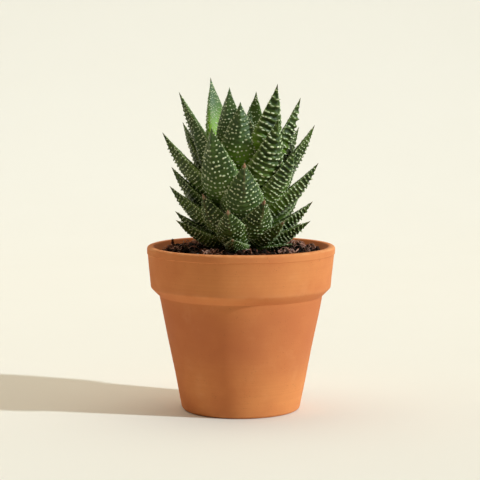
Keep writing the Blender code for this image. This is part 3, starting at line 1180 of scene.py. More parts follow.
@dataclass
class SoilBed:
    """Potting soil: a crumbly dome with loose crumbs, bark bits, grit and dry fibres on it.

    Attributes:
        edge_radius: Radius of its top at the wall.
        edge_height: Height of its top at the wall.
        bottom_height: Height of its underside.
        bottom_radius: Radius of its underside.
        mound: How much higher the middle of the dome is.
        columns: Points round the bed.
        dome_rings: Rings of points on the dome.
        side_rings: Rings down the side.
    """

    edge_radius: float
    edge_height: float
    bottom_height: float
    bottom_radius: float
    mound: float = 2.8 * MM
    columns: int = 220
    dome_rings: int = 80
    side_rings: int = 7

    def height_at(self, radius: Array) -> Array:
        """Height of the dome: its mound falls off with the square of the share of the edge's radius."""
        share = np.clip(radius / self.edge_radius, 0.0, 1.0)
        return self.edge_height + self.mound * (1.0 - share**2)

    def bed(self) -> bpy.types.Object:
        """The closed body of the soil.

        Rings run from the middle of the dome to its edge, then down the side and under the bottom. The
        dome's rings are lifted by two random fields, a coarse and a fine one, that fade at the edge.

        Returns:
            The bed's object, which stands for the CAD soil.
        """
        angle = math.tau * np.arange(self.columns) / self.columns
        dome_radius = self.edge_radius * np.linspace(0.02, 1.0, self.dome_rings)
        side = np.linspace(0.0, 1.0, self.side_rings + 1)[1:]
        side_radius = self.edge_radius + (self.bottom_radius - self.edge_radius) * side
        under_radius = self.bottom_radius * np.array([0.7, 0.4, 0.1])
        radius = np.concatenate([dome_radius, side_radius, under_radius])
        height = np.concatenate(
            [
                self.height_at(dome_radius),
                self.edge_height + (self.bottom_height - self.edge_height) * side,
                np.full(len(under_radius), self.bottom_height),
            ]
        )
        ones = np.ones((len(radius), self.columns))
        points = np.stack(
            [radius[:, None] * np.sin(angle), -radius[:, None] * np.cos(angle), height[:, None] * ones],
            axis=-1,
        )
        rough = 0.30 * MM * ripple(points, 5.0 * MM, Seed.SOIL_COARSE, 40)
        rough += 0.22 * MM * ripple(points, 1.9 * MM, Seed.SOIL_FINE, 40)
        fade = 1.0 - smooth_step(0.97, 1.0, radius / self.edge_radius)
        on_dome = (np.arange(len(radius)) < len(dome_radius)) * fade
        points[..., 2] += rough * on_dome[:, None]
        poles = [[0.0, 0.0, self.height_at(np.array(0.0))], [0.0, 0.0, self.bottom_height]]
        piece = Piece("soil_bed")
        piece.add(np.concatenate([points.reshape(-1, 3), poles]), capped_faces(len(radius), self.columns))
        return piece.make([SOIL], "potting_soil", "soil")

    def scatter(self, litter: Litter) -> bpy.types.Object:
        """Small lumps strewn over the dome.

        Each lump is a coarse ball whose corners are pushed in or out at random, stretched along three
        axes, turned at random and set with its middle a share of its size above the soil.

        Args:
            litter: The kind of lump.

        Returns:
            The piece's object.
        """
        rng = np.random.default_rng(litter.seed)
        count, longest = litter.count, max(litter.shape)
        least, greatest = litter.size[0] * MM, litter.size[1] * MM
        ball, quads, triangles = lump(*LUMP_BALL)
        half = least + (greatest - least) * rng.random(count) ** SMALL_BIAS
        reach = self.edge_radius - 1.2 * half * longest
        distance = np.sqrt(rng.uniform(0.12, 1.0, count)) * reach
        angle = rng.uniform(0.0, math.tau, count)
        plan = np.stack([distance * np.sin(angle), -distance * np.cos(angle)], axis=-1)
        near = CLUMPS[rng.integers(0, len(CLUMPS), count)] + rng.normal(scale=CLUMP_SPREAD, size=(count, 2))
        near *= np.minimum(1.0, reach / np.linalg.norm(near, axis=1))[:, None]
        plan = np.where(rng.random((count, 1)) < litter.clumped, near, plan)
        middle = np.column_stack([plan, self.height_at(np.linalg.norm(plan, axis=1))])
        middle[:, 2] += half * rng.uniform(0.05, 0.7, count) * (1.0 + longest * litter.clumped)
        bumps = rng.uniform(0.72, 1.18, (count, len(ball), 1))
        local = ball[None] * bumps * np.array(litter.shape) * half[:, None, None]
        points = np.einsum("nij,nkj->nki", random_turns(rng, count), local) + middle[:, None]
        faces = (repeated(quads, count, len(ball)), repeated(triangles, count, len(ball)))
        piece = Piece(litter.name)
        piece.add(points.reshape(-1, 3), faces)
        return piece.make([litter.finish], litter.slot)

    def fibres(self) -> bpy.types.Object:
        """Thin dry fibres and root hairs.

        Each one follows a quadratic curve from its start, over a raised middle, to its end, and four
        points stand round the curve at each of nine stations, on a radius that fades to both ends.

        Returns:
            The piece's object.
        """
        rng = np.random.default_rng(Seed.FIBRES)
        centre = np.repeat(CLUMPS, CLUMP_FIBRES, axis=0)
        turn = rng.uniform(0.0, math.tau, LOOSE_FIBRES)
        spread = self.edge_radius * rng.uniform(0.55, 0.93, LOOSE_FIBRES)
        centre = np.concatenate([centre, np.stack([spread * np.sin(turn), -spread * np.cos(turn)], axis=-1)])
        count = len(centre)
        start = centre + rng.normal(scale=2.6 * MM, size=(count, 2))
        heading = rng.uniform(0.0, math.tau, count)
        length = rng.uniform(3.0, 8.5, count) * MM
        end = start + np.stack([np.cos(heading), np.sin(heading)], axis=-1) * length[:, None]
        inward = 0.96 * self.edge_radius
        start *= np.minimum(1.0, inward / np.linalg.norm(start, axis=1))[:, None]
        end *= np.minimum(1.0, inward / np.linalg.norm(end, axis=1))[:, None]
        lift = rng.uniform(0.5, 5.0, count) * MM

        def on_soil(place: Array, above: Array | float) -> Array:
            """Puts points of the plan at a height above the soil."""
            return np.column_stack([place, self.height_at(np.linalg.norm(place, axis=1)) + above])

        first = on_soil(start, 0.1 * MM)
        last = on_soil(end, 0.3 * lift)
        middle = on_soil(0.5 * (start + end) + rng.normal(scale=1.2 * MM, size=(count, 2)), 1.6 * lift)
        stations, sides = 9, 4
        t = np.linspace(0.0, 1.0, stations)[None, :, None]
        line = (1 - t) ** 2 * first[:, None] + 2 * t * (1 - t) * middle[:, None] + t**2 * last[:, None]
        along = np.gradient(line, axis=1)
        along /= np.linalg.norm(along, axis=2, keepdims=True)
        side = np.cross(along, np.array([0.12, 0.31, 0.94]))
        side /= np.linalg.norm(side, axis=2, keepdims=True)
        up = np.cross(side, along)
        girth = rng.uniform(0.12, 0.30, count)[:, None] * MM * (0.35 + 0.65 * np.sin(math.pi * t[0, :, 0]))
        spin = (math.tau * np.arange(sides) / sides)[None, None, :, None]
        round_it = side[:, :, None] * np.cos(spin) + up[:, :, None] * np.sin(spin)
        ring = line[:, :, None] + girth[:, :, None, None] * round_it
        points = np.concatenate([ring.reshape(count, -1, 3), line[:, :1], line[:, -1:]], axis=1)
        quads, triangles = capped_faces(stations, sides)
        each = points.shape[1]
        piece = Piece("dry_fibres")
        piece.add(points.reshape(-1, 3), (repeated(quads, count, each), repeated(triangles, count, each)))
        return piece.make([FIBRE], "bark")

    def chip(self, chip: Chip) -> bpy.types.Object:
        """A rough bark chip in the box of its CAD node.

        A ball is pressed towards a block by a low power of each coordinate, fitted to the node's box,
        narrowed evenly towards its top and roughened by a random field that changes fastest across its
        layers.

        Args:
            chip: The chip.

        Returns:
            The chip's object.
        """
        low, high = (np.array(corner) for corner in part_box(chip.node))
        ball, quads, triangles = lump(*CHIP_BALL)
        blocky = np.sign(ball) * np.abs(ball) ** 0.45
        blocky /= np.abs(blocky).max(axis=0)
        edge_wear_and_highlight = 1.0 - chip.taper * (0.5 + 0.5 * blocky[:, 2:])
        narrowed = np.concatenate([edge_wear_and_highlight, edge_wear_and_highlight, np.ones_like(edge_wear_and_highlight)], axis=1)
        points = 0.5 * (low + high) + blocky * 0.5 * (high - low) * narrowed
        layered = points * np.array([1.0, 1.0, 3.5])
        rough = 0.16 * MM * ripple(layered, 2.2 * MM, chip.seed)
        rough = rough + 0.07 * MM * ripple(layered, 0.8 * MM, chip.seed + 1)
        points += ball * rough[:, None]
        piece = Piece(chip.node.replace("bark_chip", "rough_chip"))
        piece.add(points, (quads, triangles))
        return piece.make([BARK], "bark", chip.node)

    def make(self) -> None:
        """Makes the bed and everything that lies on it."""
        self.bed()
        for litter in LITTER:
            self.scatter(litter)
        self.fibres()
        for chip in CHIPS:
            self.chip(chip)


# ---------------------------------------------------------------------------------------------------
# Plant


LEAST_ROW_PITCH = 2.2 * MM
LEAST_SPACING = 1.5 * MM
LEAST_BUMPED_WIDTH = 17.0 * MM
ROW_BOW = 0.055


class Bumps(Enum):
    """How a leaf's pearly bumps stand across its back, with sizes as shares of the leaf's width."""

    DOTS = (0.066, 0.25, 0.101, 0.080, 0.026, 0.12, 0.45)
    ROWS = (0.062, 0.30, 0.106, 0.078, 0.032, 0.10, 0.65)
    BARS = (0.112, 0.55, 0.127, 0.098, 0.054, 0.07, 1.0)
    WIDE_BARS = (0.125, 0.60, 0.160, 0.098, 0.060, 0.09, 1.0)

    def __init__(
        self,
        width: float,
        merge: float,
        rows: float,
        spacing: float,
        rib: float,
        scatter: float,
        banding: float,
    ) -> None:
        """Keeps the sizes.

        Args:
            width: A bump's width.
            merge: Share of the bumps that run into longer ones.
            rows: Pitch of the rows.
            spacing: Pitch of the bumps in a row.
            rib: Height of the rib under a row.
            scatter: How far a bump strays from its row, in row pitches.
            banding: How strongly the rows show in the skin's colour, with painted shade between them.
        """
        self.width = width
        self.merge = merge
        self.rows = rows
        self.spacing = spacing
        self.rib = rib
        self.scatter = scatter
        self.banding = banding


class Tip(Enum):
    """Colour of a leaf's tip, as its share of brown and of red."""

    GREEN = (0.15, 0.0)
    BROWN = (0.9, 0.0)
    RED = (0.0, 0.9)

    def __init__(self, brown: float, red: float) -> None:
        """Keeps the two shares.

        Args:
            brown: Share of brown.
            red: Share of red.
        """
        self.brown = brown
        self.red = red


@dataclass(frozen=True)
class Leaf:
    """Where one leaf stands, in degrees and millimetres, and how it is marked.

    Attributes:
        azimuth: The way that it leans.
        tip_radius: Distance of its tip from the middle.
        tip_height: Height of its tip above the lip.
        base_height: Height of its base above the soil.
        width: Its greatest width.
        bend: How far it bows, as an angle at both ends.
        bumps: The pattern of its bumps.
        tip: Colour of its tip.
        glow: Share of pale green towards the base.
        wax: Share of wax on its inner face.
        bloom: Share of wax on its back.
    """

    azimuth: float
    tip_radius: float
    tip_height: float
    base_height: float
    width: float
    bend: float
    bumps: Bumps = Bumps.ROWS
    tip: Tip = Tip.BROWN
    glow: float = 0.15
    wax: float = 0.0
    bloom: float = 0.0

    @property
    def girth(self) -> float:
        """Its greatest width in metres."""
        return self.width * MM

    @property
    def row_pitch(self) -> float:
        """Distance between its rows of bumps."""
        return max(self.bumps.rows * self.girth, LEAST_ROW_PITCH)


DOTS, ROWS, BARS, WIDE_BARS = Bumps.DOTS, Bumps.ROWS, Bumps.BARS, Bumps.WIDE_BARS
GREEN, BROWN, RED = Tip.GREEN, Tip.BROWN, Tip.RED

# From the heart of the rosette to the oldest leaves, in the order of the CAD nodes.
LEAVES = (
    Leaf(60, 5.5, 80, 50, 9, 6, DOTS, GREEN, 0.8),
    Leaf(-30, 13, 91, 43, 20, 12, DOTS, GREEN, 0.2, 0.0, 0.45),
    Leaf(155, 21, 88, 43, 18, 12, DOTS, GREEN, 0.2),
    Leaf(42, 30.5, 93, 41, 23, 12, WIDE_BARS, BROWN, 0.8),
    Leaf(-135, 25, 96, 41, 21, 10, DOTS, BROWN, 1.0, 0.9),
    Leaf(-1, 21, 83, 37, 25, 18, DOTS, GREEN, 0.8, 0.0, 0.4),
    Leaf(195, 24, 80, 38, 19, 12, ROWS, GREEN, 0.2),
    Leaf(74, 35, 85, 35, 20, 9, WIDE_BARS, BROWN, 0.8),
    Leaf(-92, 35.5, 88, 37, 20, 3, ROWS, BROWN, 0.1),
    Leaf(-65, 30, 75, 32, 20, 10, DOTS, GREEN, 0.2, 0.0, 0.35),
    Leaf(34, 37, 74, 30, 25, 16, BARS, GREEN, 0.2),
    Leaf(130, 30, 66, 31, 19, 12, ROWS, GREEN, 0.2),
    Leaf(170, 33, 74, 31, 21, 14, ROWS, BROWN, 0.2),
    Leaf(212, 33, 74, 32, 20, 14, BARS, GREEN, 0.2),
    Leaf(-106, 35, 70.5, 29, 19, 8, DOTS, BROWN, 0.1),
    Leaf(97, 33.5, 68, 28, 18, 10, ROWS, BROWN, 0.1),
    Leaf(80, 42.5, 69.5, 27, 20, 9, ROWS, BROWN, 0.1),
    Leaf(-75, 46, 65.5, 26, 21, 9, ROWS, BROWN, 0.1),
    Leaf(-29, 34, 69, 23, 27, 16, DOTS, GREEN, 0.2, 0.0, 0.2),
    Leaf(48, 41, 57, 21, 20, 14, BARS, GREEN, 0.3),
    Leaf(3, 37, 50, 18, 25, 20, ROWS, RED, 0.1, 0.0, 0.25),
    Leaf(150, 40, 58, 22, 20, 14, BARS, BROWN, 0.2),
    Leaf(188, 40, 56, 21, 21, 14, ROWS, BROWN, 0.2),
    Leaf(225, 38, 57, 22, 20, 14, ROWS, BROWN, 0.1),
    Leaf(70, 46.5, 48.5, 18, 20, 12, BARS, BROWN, 0.3),
    Leaf(120, 38, 48, 18, 19, 12, ROWS, BROWN, 0.1),
    Leaf(-82, 40, 45.5, 17, 20, 10, DOTS, BROWN, 0.1),
    Leaf(-66, 44, 35.5, 12, 19, 12, ROWS, BROWN, 0.1),
    Leaf(-38, 35, 32, 9, 21, 16, ROWS, RED, 0.1),
    Leaf(21, 37, 29.5, 8, 22, 16, ROWS, RED, 0.1),
    Leaf(71, 43, 26.5, 7.5, 18, 12, BARS, BROWN, 0.2),
    Leaf(145, 41, 34, 12, 19, 14, BARS, BROWN, 0.1),
    Leaf(178, 41, 31, 10, 19, 14, ROWS, RED, 0.1),
    Leaf(212, 41, 33, 11, 19, 14, ROWS, BROWN, 0.1),
    Leaf(245, 37, 30, 9, 18, 14, ROWS, BROWN, 0.1),
    Leaf(112, 36, 26, 8, 18, 14, ROWS, BROWN, 0.1),
    Leaf(-11, 39, 24, 6, 21, 16, ROWS, RED, 0.1),
    Leaf(-77, 38.5, 20.5, 5.5, 17, 12, ROWS, BROWN, 0.1),
    Leaf(-61, 42, 16.5, 3.5, 17, 8, ROWS, BROWN, 0.1),
    Leaf(42, 37, 17, 4, 17, 12, ROWS, RED, 0.1),
    Leaf(63, 44, 16, 3.5, 17, 8, BARS, BROWN, 0.3),
    Leaf(104, 36, 12, 3, 16, 10, ROWS, BROWN, 0.1),
    Leaf(136, 40, 13, 3.5, 16, 10, ROWS, BROWN, 0.1),
    Leaf(168, 40, 12, 3, 16, 10, ROWS, RED, 0.1),
    Leaf(200, 40, 13, 3.5, 16, 10, ROWS, BROWN, 0.1),
    Leaf(232, 38, 12, 3, 16, 10, ROWS, BROWN, 0.1),
    Leaf(-6.5, 42.5, 8, 2.5, 14, 10, ROWS, RED, 0.1),
    Leaf(54, 37, 3, 1.5, 13, 6, DOTS, GREEN, 0.5),
)


# Numbers of a leaf's two finishes on its piece.
SKIN, PEARLS = 0, 1


@dataclass
class Rosette:
    """The leaves and the stem that carries them.

    Attributes:
        soil: The soil that they stand in.
        lip_height: Height of the pot's lip.
        outer_bulge: Depth of a leaf's back, as a share of its width.
        inner_bulge: Depth of its inner face, as such a share.
        base_width: Share of its width at the base.
        widest_at: Share of the way up where it is widest.
        taper_power: How late it narrows above that.
        tip_pinch: Share by which it is drawn in at the tip.
        depth_power: How its depth follows its width.
        keel_start: Share of the way up where the keel starts.
        keel_end: Share of the way up where it is full.
        handle: Length of the spine's handles, as a share of its chord.
        row_stray: How far a row strays from its even place, in pitches, and the span of that.
        stem_radius: Radius of the stem at the soil.
        stem_top_radius: Its radius at the top.
        stem_length: Length over which it narrows.
        stem_rings: Rings of points on it.
        stem_columns: Points on each ring.
        bump_height: Height of a bump, as a share of the leaf's width.
        tooth_pitch: Distance between the teeth of a margin.
        tooth_sides: Points round a tooth.
        rings: Rings of points on a leaf.
        columns: Points on each ring.
        skin: The leaves' finish.
        pearls: The finish of bumps and teeth.
        rootstock: The stem's finish.
    """

    soil: SoilBed
    lip_height: float
    outer_bulge: float = 0.36
    inner_bulge: float = 0.11
    base_width: float = 0.62
    widest_at: float = 0.34
    taper_power: float = 1.45
    tip_pinch: float = 0.34
    depth_power: float = 0.8
    keel_start: float = 0.45
    keel_end: float = 0.92
    handle: float = 0.36
    row_stray: tuple[float, float] = (0.13, 9.0 * MM)
    stem_radius: float = 5.5 * MM
    stem_top_radius: float = 3.5 * MM
    stem_length: float = 56.0 * MM
    stem_rings: int = 90
    stem_columns: int = 40
    bump_height: float = 0.024
    tooth_pitch: float = 1.5 * MM
    tooth_sides: int = 5
    rings: int = 124
    columns: int = 48
    skin: Finish = SkinFinish()
    pearls: Finish = PearlFinish()
    rootstock: Finish = StemFinish()

    @property
    def soil_top(self) -> float:
        """Height of the soil at the stem."""
        return self.soil.edge_height + self.soil.mound

    def stem_radius_at(self, height: float) -> float:
        """Radius of the stem, which narrows evenly upwards."""
        share = min(max((height - self.soil_top) / self.stem_length, 0.0), 1.0)
        return self.stem_radius + (self.stem_top_radius - self.stem_radius) * share

    def spine(self, leaf: Leaf, along: Array) -> tuple[Array, Array, Array, float]:
        """Points, tangents and outward normals of a leaf's spine, as (radius, height) pairs.

        The spine is a cubic curve in the plane of the azimuth. Its two handles are a share of the chord
        long, and turn down from the chord at the base and up from it at the tip by the leaf's bend.

        Args:
            leaf: The leaf.
            along: Shares of the way from base to tip.

        Returns:
            The points, the tangents, the normals and the chord's length.
        """
        base_height = self.soil_top + leaf.base_height * MM
        base = np.array([self.stem_radius_at(base_height), base_height])
        tip = np.array([leaf.tip_radius * MM, self.lip_height + leaf.tip_height * MM])
        chord = tip - base
        rise, bend = math.atan2(chord[1], chord[0]), math.radians(leaf.bend)
        handle = self.handle * float(np.linalg.norm(chord))
        first = base + handle * np.array([math.cos(rise - bend), math.sin(rise - bend)])
        second = tip - handle * np.array([math.cos(rise + bend), math.sin(rise + bend)])
        t = along[..., None]
        point = (1 - t) ** 3 * base + 3 * t * (1 - t) ** 2 * first + 3 * t**2 * (1 - t) * second + t**3 * tip
        tangent = (1 - t) ** 2 * (first - base) + 2 * t * (1 - t) * (second - first) + t**2 * (tip - second)
        tangent /= np.linalg.norm(tangent, axis=-1, keepdims=True)
        normal = np.stack([tangent[..., 1], -tangent[..., 0]], axis=-1)
        return point, tangent, normal, float(np.linalg.norm(chord))

    def outline(self, along: Array) -> Array:
        """Half width of a leaf, as a share of its greatest.

        Below the widest place it rises from the base's share along a parabola. Above it falls to nothing
        as a power of the share of the way, and it is drawn in a little more near the tip.

        Args:
            along: Shares of the way from base to tip.

        Returns:
            The shares of the greatest half width.
        """
        below = self.base_width + (1.0 - self.base_width) * (1.0 - (1.0 - along / self.widest_at) ** 2)
        above = 1.0 - np.clip((along - self.widest_at) / (1.0 - self.widest_at), 0.0, 1.0) ** self.taper_power
        drawn_in = 1.0 - self.tip_pinch * smooth_step(0.80, 1.0, along)
        return np.where(along < self.widest_at, below, above) * drawn_in

    def row_phase(self, leaf: Leaf, along: Array, across: Array, length: float) -> Array:
        """Number of bump rows passed at a point. A row bows towards the base in its middle.

        Args:
            leaf: The leaf.
            along: Shares of the way from base to tip.
            across: Places across the leaf, from -1 to 1.
            length: The leaf's length.

        Returns:
            The row numbers, whole at a row's own line.
        """
        bow = ROW_BOW * leaf.width * MM * across**2
        return (along * length - bow) / leaf.row_pitch - self.row_sway(leaf, along * length, across)

    def row_sway(self, leaf: Leaf, up: Array, across: Array) -> Array:
        """How far a row strays from its even place, in pitches: a soft random field over the leaf.

        Args:
            leaf: The leaf.
            up: Distances from its base.
            across: Places across the leaf, from -1 to 1.

        Returns:
            The strays.
        """
        seat = np.full(np.shape(across), leaf.azimuth * MM)
        place = np.stack([up, 0.5 * leaf.width * MM * across, seat], axis=-1)
        return self.row_stray[0] * ripple(place, self.row_stray[1], Seed.LEAF_ROWS)

    def surface(self, leaf: Leaf, along: Array, around: Array, ribbed: bool = True) -> Array:
        """Points of a leaf's skin.

        The section is a shallow arc on the inner side and a deep one outside, which turns into a keel
        towards the tip. On the outer side, low ribs follow the rows of bumps as a cosine of the row
        number. The leaf rests on the soil where it would sink into it.

        Args:
            leaf: The leaf.
            along: Shares of the way from base to tip.
            around: Angles round the section, 0 and a half turn at its margins.
            ribbed: Whether to add the ribs.

        Returns:
            The points.
        """
        width = leaf.width * MM
        point, _, normal, length = self.spine(leaf, along)
        outline = self.outline(along)
        thickness = np.clip(outline, 0.0, None) ** self.depth_power
        keel = smooth_step(self.keel_start, self.keel_end, along)
        arc = np.abs(np.sin(around))
        ridge = 1.0 - np.abs(np.cos(around))
        outer = self.outer_bulge * width * thickness * (arc * (1.0 - keel) + ridge * keel)
        if ribbed:
            rows = self.row_phase(leaf, along, np.cos(around), length)
            rib = (0.5 + 0.5 * np.cos(math.tau * rows)) ** 1.6
            rise = leaf.bumps.rib * width * (rib - 0.4)
            outer = outer + rise * smooth_step(0.0, 0.5, arc) * smooth_step(0.0, 0.45, outline)
        inner = self.inner_bulge * width * thickness * arc
        depth = np.where(np.sin(around) > 0.0, -inner, outer)
        side = 0.5 * width * outline * np.cos(around)
        radius = point[..., 0] + normal[..., 0] * depth
        height = point[..., 1] + normal[..., 1] * depth
        turn = math.radians(leaf.azimuth)
        x = radius * math.sin(turn) + side * math.cos(turn)
        y = -radius * math.cos(turn) + side * math.sin(turn)
        floor = self.soil.height_at(np.hypot(x, y)) + 0.2 * MM
        return np.stack([x, y, np.maximum(height, floor)], axis=-1)

    def frames(self, leaf: Leaf, along: Array, around: Array) -> tuple[Array, Array, Array, Array]:
        """Points of the skin, with unit directions across, along and out of it, by small differences.

        Args:
            leaf: The leaf.
            along: Shares of the way from base to tip.
            around: Angles round the section.

        Returns:
            The points and the three directions.
        """
        step, turned = 0.004, 0.03
        place = self.surface(leaf, along, around)
        ahead, behind = (self.surface(leaf, along + way * step, around, False) for way in (1, -1))
        left, right = (self.surface(leaf, along, around + way * turned, False) for way in (1, -1))
        up, over = ahead - behind, left - right
        up /= np.linalg.norm(up, axis=-1, keepdims=True) + 1e-12
        over -= up * (over * up).sum(axis=-1, keepdims=True)
        over /= np.linalg.norm(over, axis=-1, keepdims=True) + 1e-12
        out = np.cross(up, over)
        middle, _, _, _ = self.spine(leaf, along)
        turn = math.radians(leaf.azimuth)
        core = np.stack(
            [middle[..., 0] * math.sin(turn), -middle[..., 0] * math.cos(turn), middle[..., 1]],
            axis=-1,
        )
        away = ((place - core) * out).sum(axis=-1, keepdims=True)
        out = np.where(away < 0.0, -out, out)
        return place, over, up, out

    def bump_places(self, leaf: Leaf, rng: np.random.Generator) -> tuple[Array, Array, Array]:
        """Where a leaf's bumps stand, and their sizes.

        Rows lie a pitch apart from about an eighth of the way up to just under the tip. Each row has as
        many bumps as its arc holds at a bump's pitch, all a little off their even places. Some bumps are
        left out.

        Args:
            leaf: The leaf.
            rng: Source of random numbers.

        Returns:
            Shares along, angles round and (width, length, height) sizes, one row for each bump.
        """
        _, _, _, length = self.spine(leaf, np.array([0.5]))
        pitch = leaf.row_pitch
        first = math.ceil(0.13 * length / pitch)
        last = math.floor(0.965 * length / pitch)
        rows = np.arange(first, last + 1)
        arc = 1.32 * leaf.width * MM * self.outline(rows * pitch / length)
        spacing = max(leaf.bumps.spacing * leaf.girth, LEAST_SPACING)
        number = np.maximum(2, np.round(arc / spacing)).astype(int)
        row = np.repeat(np.arange(len(rows)), number)
        order = np.arange(len(row)) - np.repeat(np.cumsum(number) - number, number)
        share = (order + 0.5 + rng.normal(scale=0.14, size=len(row))) / number[row]
        around = math.pi * (1.0 + np.clip(share, 0.03, 0.97))
        across = np.cos(around)
        up = rows[row] * pitch + ROW_BOW * leaf.width * MM * across**2
        stray = self.row_sway(leaf, up, across) + rng.normal(scale=leaf.bumps.scatter, size=len(row))
        up = up + pitch * stray
        at = np.clip(up / length, 0.05, 0.985)
        tapered = (0.62 + 0.38 * smooth_step(1.0, 0.7, at)) * (0.45 + 0.55 * smooth_step(0.10, 0.42, at))
        edge = 0.72 + 0.28 * np.sin(math.pi * share)
        merged = rng.random(len(row)) < leaf.bumps.merge
        long, short = rng.uniform(1.15, 1.6, len(row)), rng.uniform(0.60, 1.10, len(row))
        width = leaf.bumps.width * np.where(merged, long, short)
        tall = rng.uniform(0.75, 1.2, len(row)) * self.bump_height
        size = np.stack([width, rng.uniform(0.040, 0.056, len(row)), tall], axis=-1)
        size = size * max(leaf.girth, LEAST_BUMPED_WIDTH) * (tapered * edge)[:, None]
        room = 1.15 * arc[row] / number[row]
        size[:, 0] = np.minimum(size[:, 0], np.maximum(room, 0.5 * MM))
        kept = rng.random(len(row)) > 0.07
        inner_at, inner_around, inner_size = self.inner_places(leaf, rng, length)
        return (
            np.concatenate([at[kept], inner_at]),
            np.concatenate([around[kept], inner_around]),
            np.concatenate([size[kept], inner_size]),
        )

    def inner_places(self, leaf: Leaf, rng: np.random.Generator, length: float) -> tuple[Array, Array, Array]:
        """Where the few small bumps of a leaf's inner face stand, drawn at random.

        Args:
            leaf: The leaf.
            rng: Source of random numbers.
            length: The leaf's length.

        Returns:
            Shares along, angles round and sizes.
        """
        count = int(80 * (1.0 + 1.5 * leaf.wax) * length / (40 * MM) * leaf.width / 20)
        at = np.clip(1.0 - 0.75 * rng.random(count) ** 0.8, 0.2, 0.94)
        around = math.pi * rng.uniform(0.12, 0.88, count)
        size = rng.uniform(0.5, 1.05 - 0.35 * leaf.wax, (count, 1)) * MM * np.array([1.2, 0.9, 0.42])
        return at, around, size

    def add_bumps(self, piece: Piece, leaf: Leaf, rng: np.random.Generator) -> None:
        """Adds the pearly bumps: flat-bottomed balls of a few rings, laid in the skin's own directions.

        Args:
            piece: The leaf's piece.
            leaf: The leaf.
            rng: Source of random numbers.
        """
        along, around, size = self.bump_places(leaf, rng)
        place, over, up, out = self.frames(leaf, along, around)
        ball, quads, triangles = lump(*BUMP_BALL)
        wobble = rng.uniform(0.90, 1.10, (len(along), len(ball), 1))
        half = np.stack([0.5 * size[:, 0], 0.5 * size[:, 1], size[:, 2]], axis=-1)
        local = ball[None] * wobble * half[:, None]
        points = (
            place[:, None]
            + over[:, None] * local[..., 0:1]
            + up[:, None] * local[..., 1:2]
            + out[:, None] * (local[..., 2:3] - 0.05 * MM)
        )
        bright = rng.uniform(0.55, 1.0, (len(along), 1))
        crown = (bright * np.clip(ball[:, 2], 0.0, 1.0)).ravel()
        browned = np.repeat(leaf.tip.brown * smooth_step(0.93, 1.0, along), len(ball))
        faces = (repeated(quads, len(along), len(ball)), repeated(triangles, len(along), len(ball)))
        piece.add(points.reshape(-1, 3), faces, PEARLS, crown=crown, brown=browned)

    def add_teeth(self, piece: Piece, leaf: Leaf, rng: np.random.Generator) -> None:
        """Adds small pale teeth along both margins, as low cones that lean towards the tip.

        Args:
            piece: The leaf's piece.
            leaf: The leaf.
            rng: Source of random numbers.
        """
        _, _, _, length = self.spine(leaf, np.array([0.5]))
        even = np.arange(0.14, 0.975, self.tooth_pitch / length)
        along = np.concatenate([even, even + 0.5 * self.tooth_pitch / length])
        stray = rng.normal(scale=0.24 * self.tooth_pitch / length, size=len(along))
        along = np.clip(along + stray, 0.1, 0.985)
        around = np.repeat([0.0, math.pi], len(even)) - 1e-3
        place, over, up, _ = self.frames(leaf, along, around)
        turn = math.radians(leaf.azimuth)
        outward = np.sign(np.cos(around))[:, None] * np.array([math.cos(turn), math.sin(turn), 0.0])
        lean = outward + 0.35 * up
        lean /= np.linalg.norm(lean, axis=1, keepdims=True)
        flat = np.cross(up, lean)
        flat /= np.linalg.norm(flat, axis=1, keepdims=True)
        spin = (math.tau * np.arange(self.tooth_sides) / self.tooth_sides)[None, :, None]
        size = rng.uniform(0.45, 1.10, len(along)) * MM * (0.45 + 0.55 * smooth_step(1.0, 0.6, along))
        ring = (
            place[:, None]
            + 0.52 * size[:, None, None] * up[:, None] * np.cos(spin)
            + 0.40 * size[:, None, None] * flat[:, None] * np.sin(spin)
            - 0.15 * size[:, None, None] * lean[:, None]
        )
        apex = place + lean * size[:, None]
        root = place - 0.4 * lean * size[:, None]
        points = np.concatenate([ring, root[:, None], apex[:, None]], axis=1)
        each = points.shape[1]
        _, triangles = capped_faces(1, self.tooth_sides)
        crown = np.tile([0.35] * self.tooth_sides + [0.0, 1.0], len(along))
        browned = np.repeat(leaf.tip.brown * smooth_step(0.90, 0.99, along), each)
        faces = (repeated(triangles, len(along), each),)
        piece.add(points.reshape(-1, 3), faces, PEARLS, crown=crown, brown=browned)

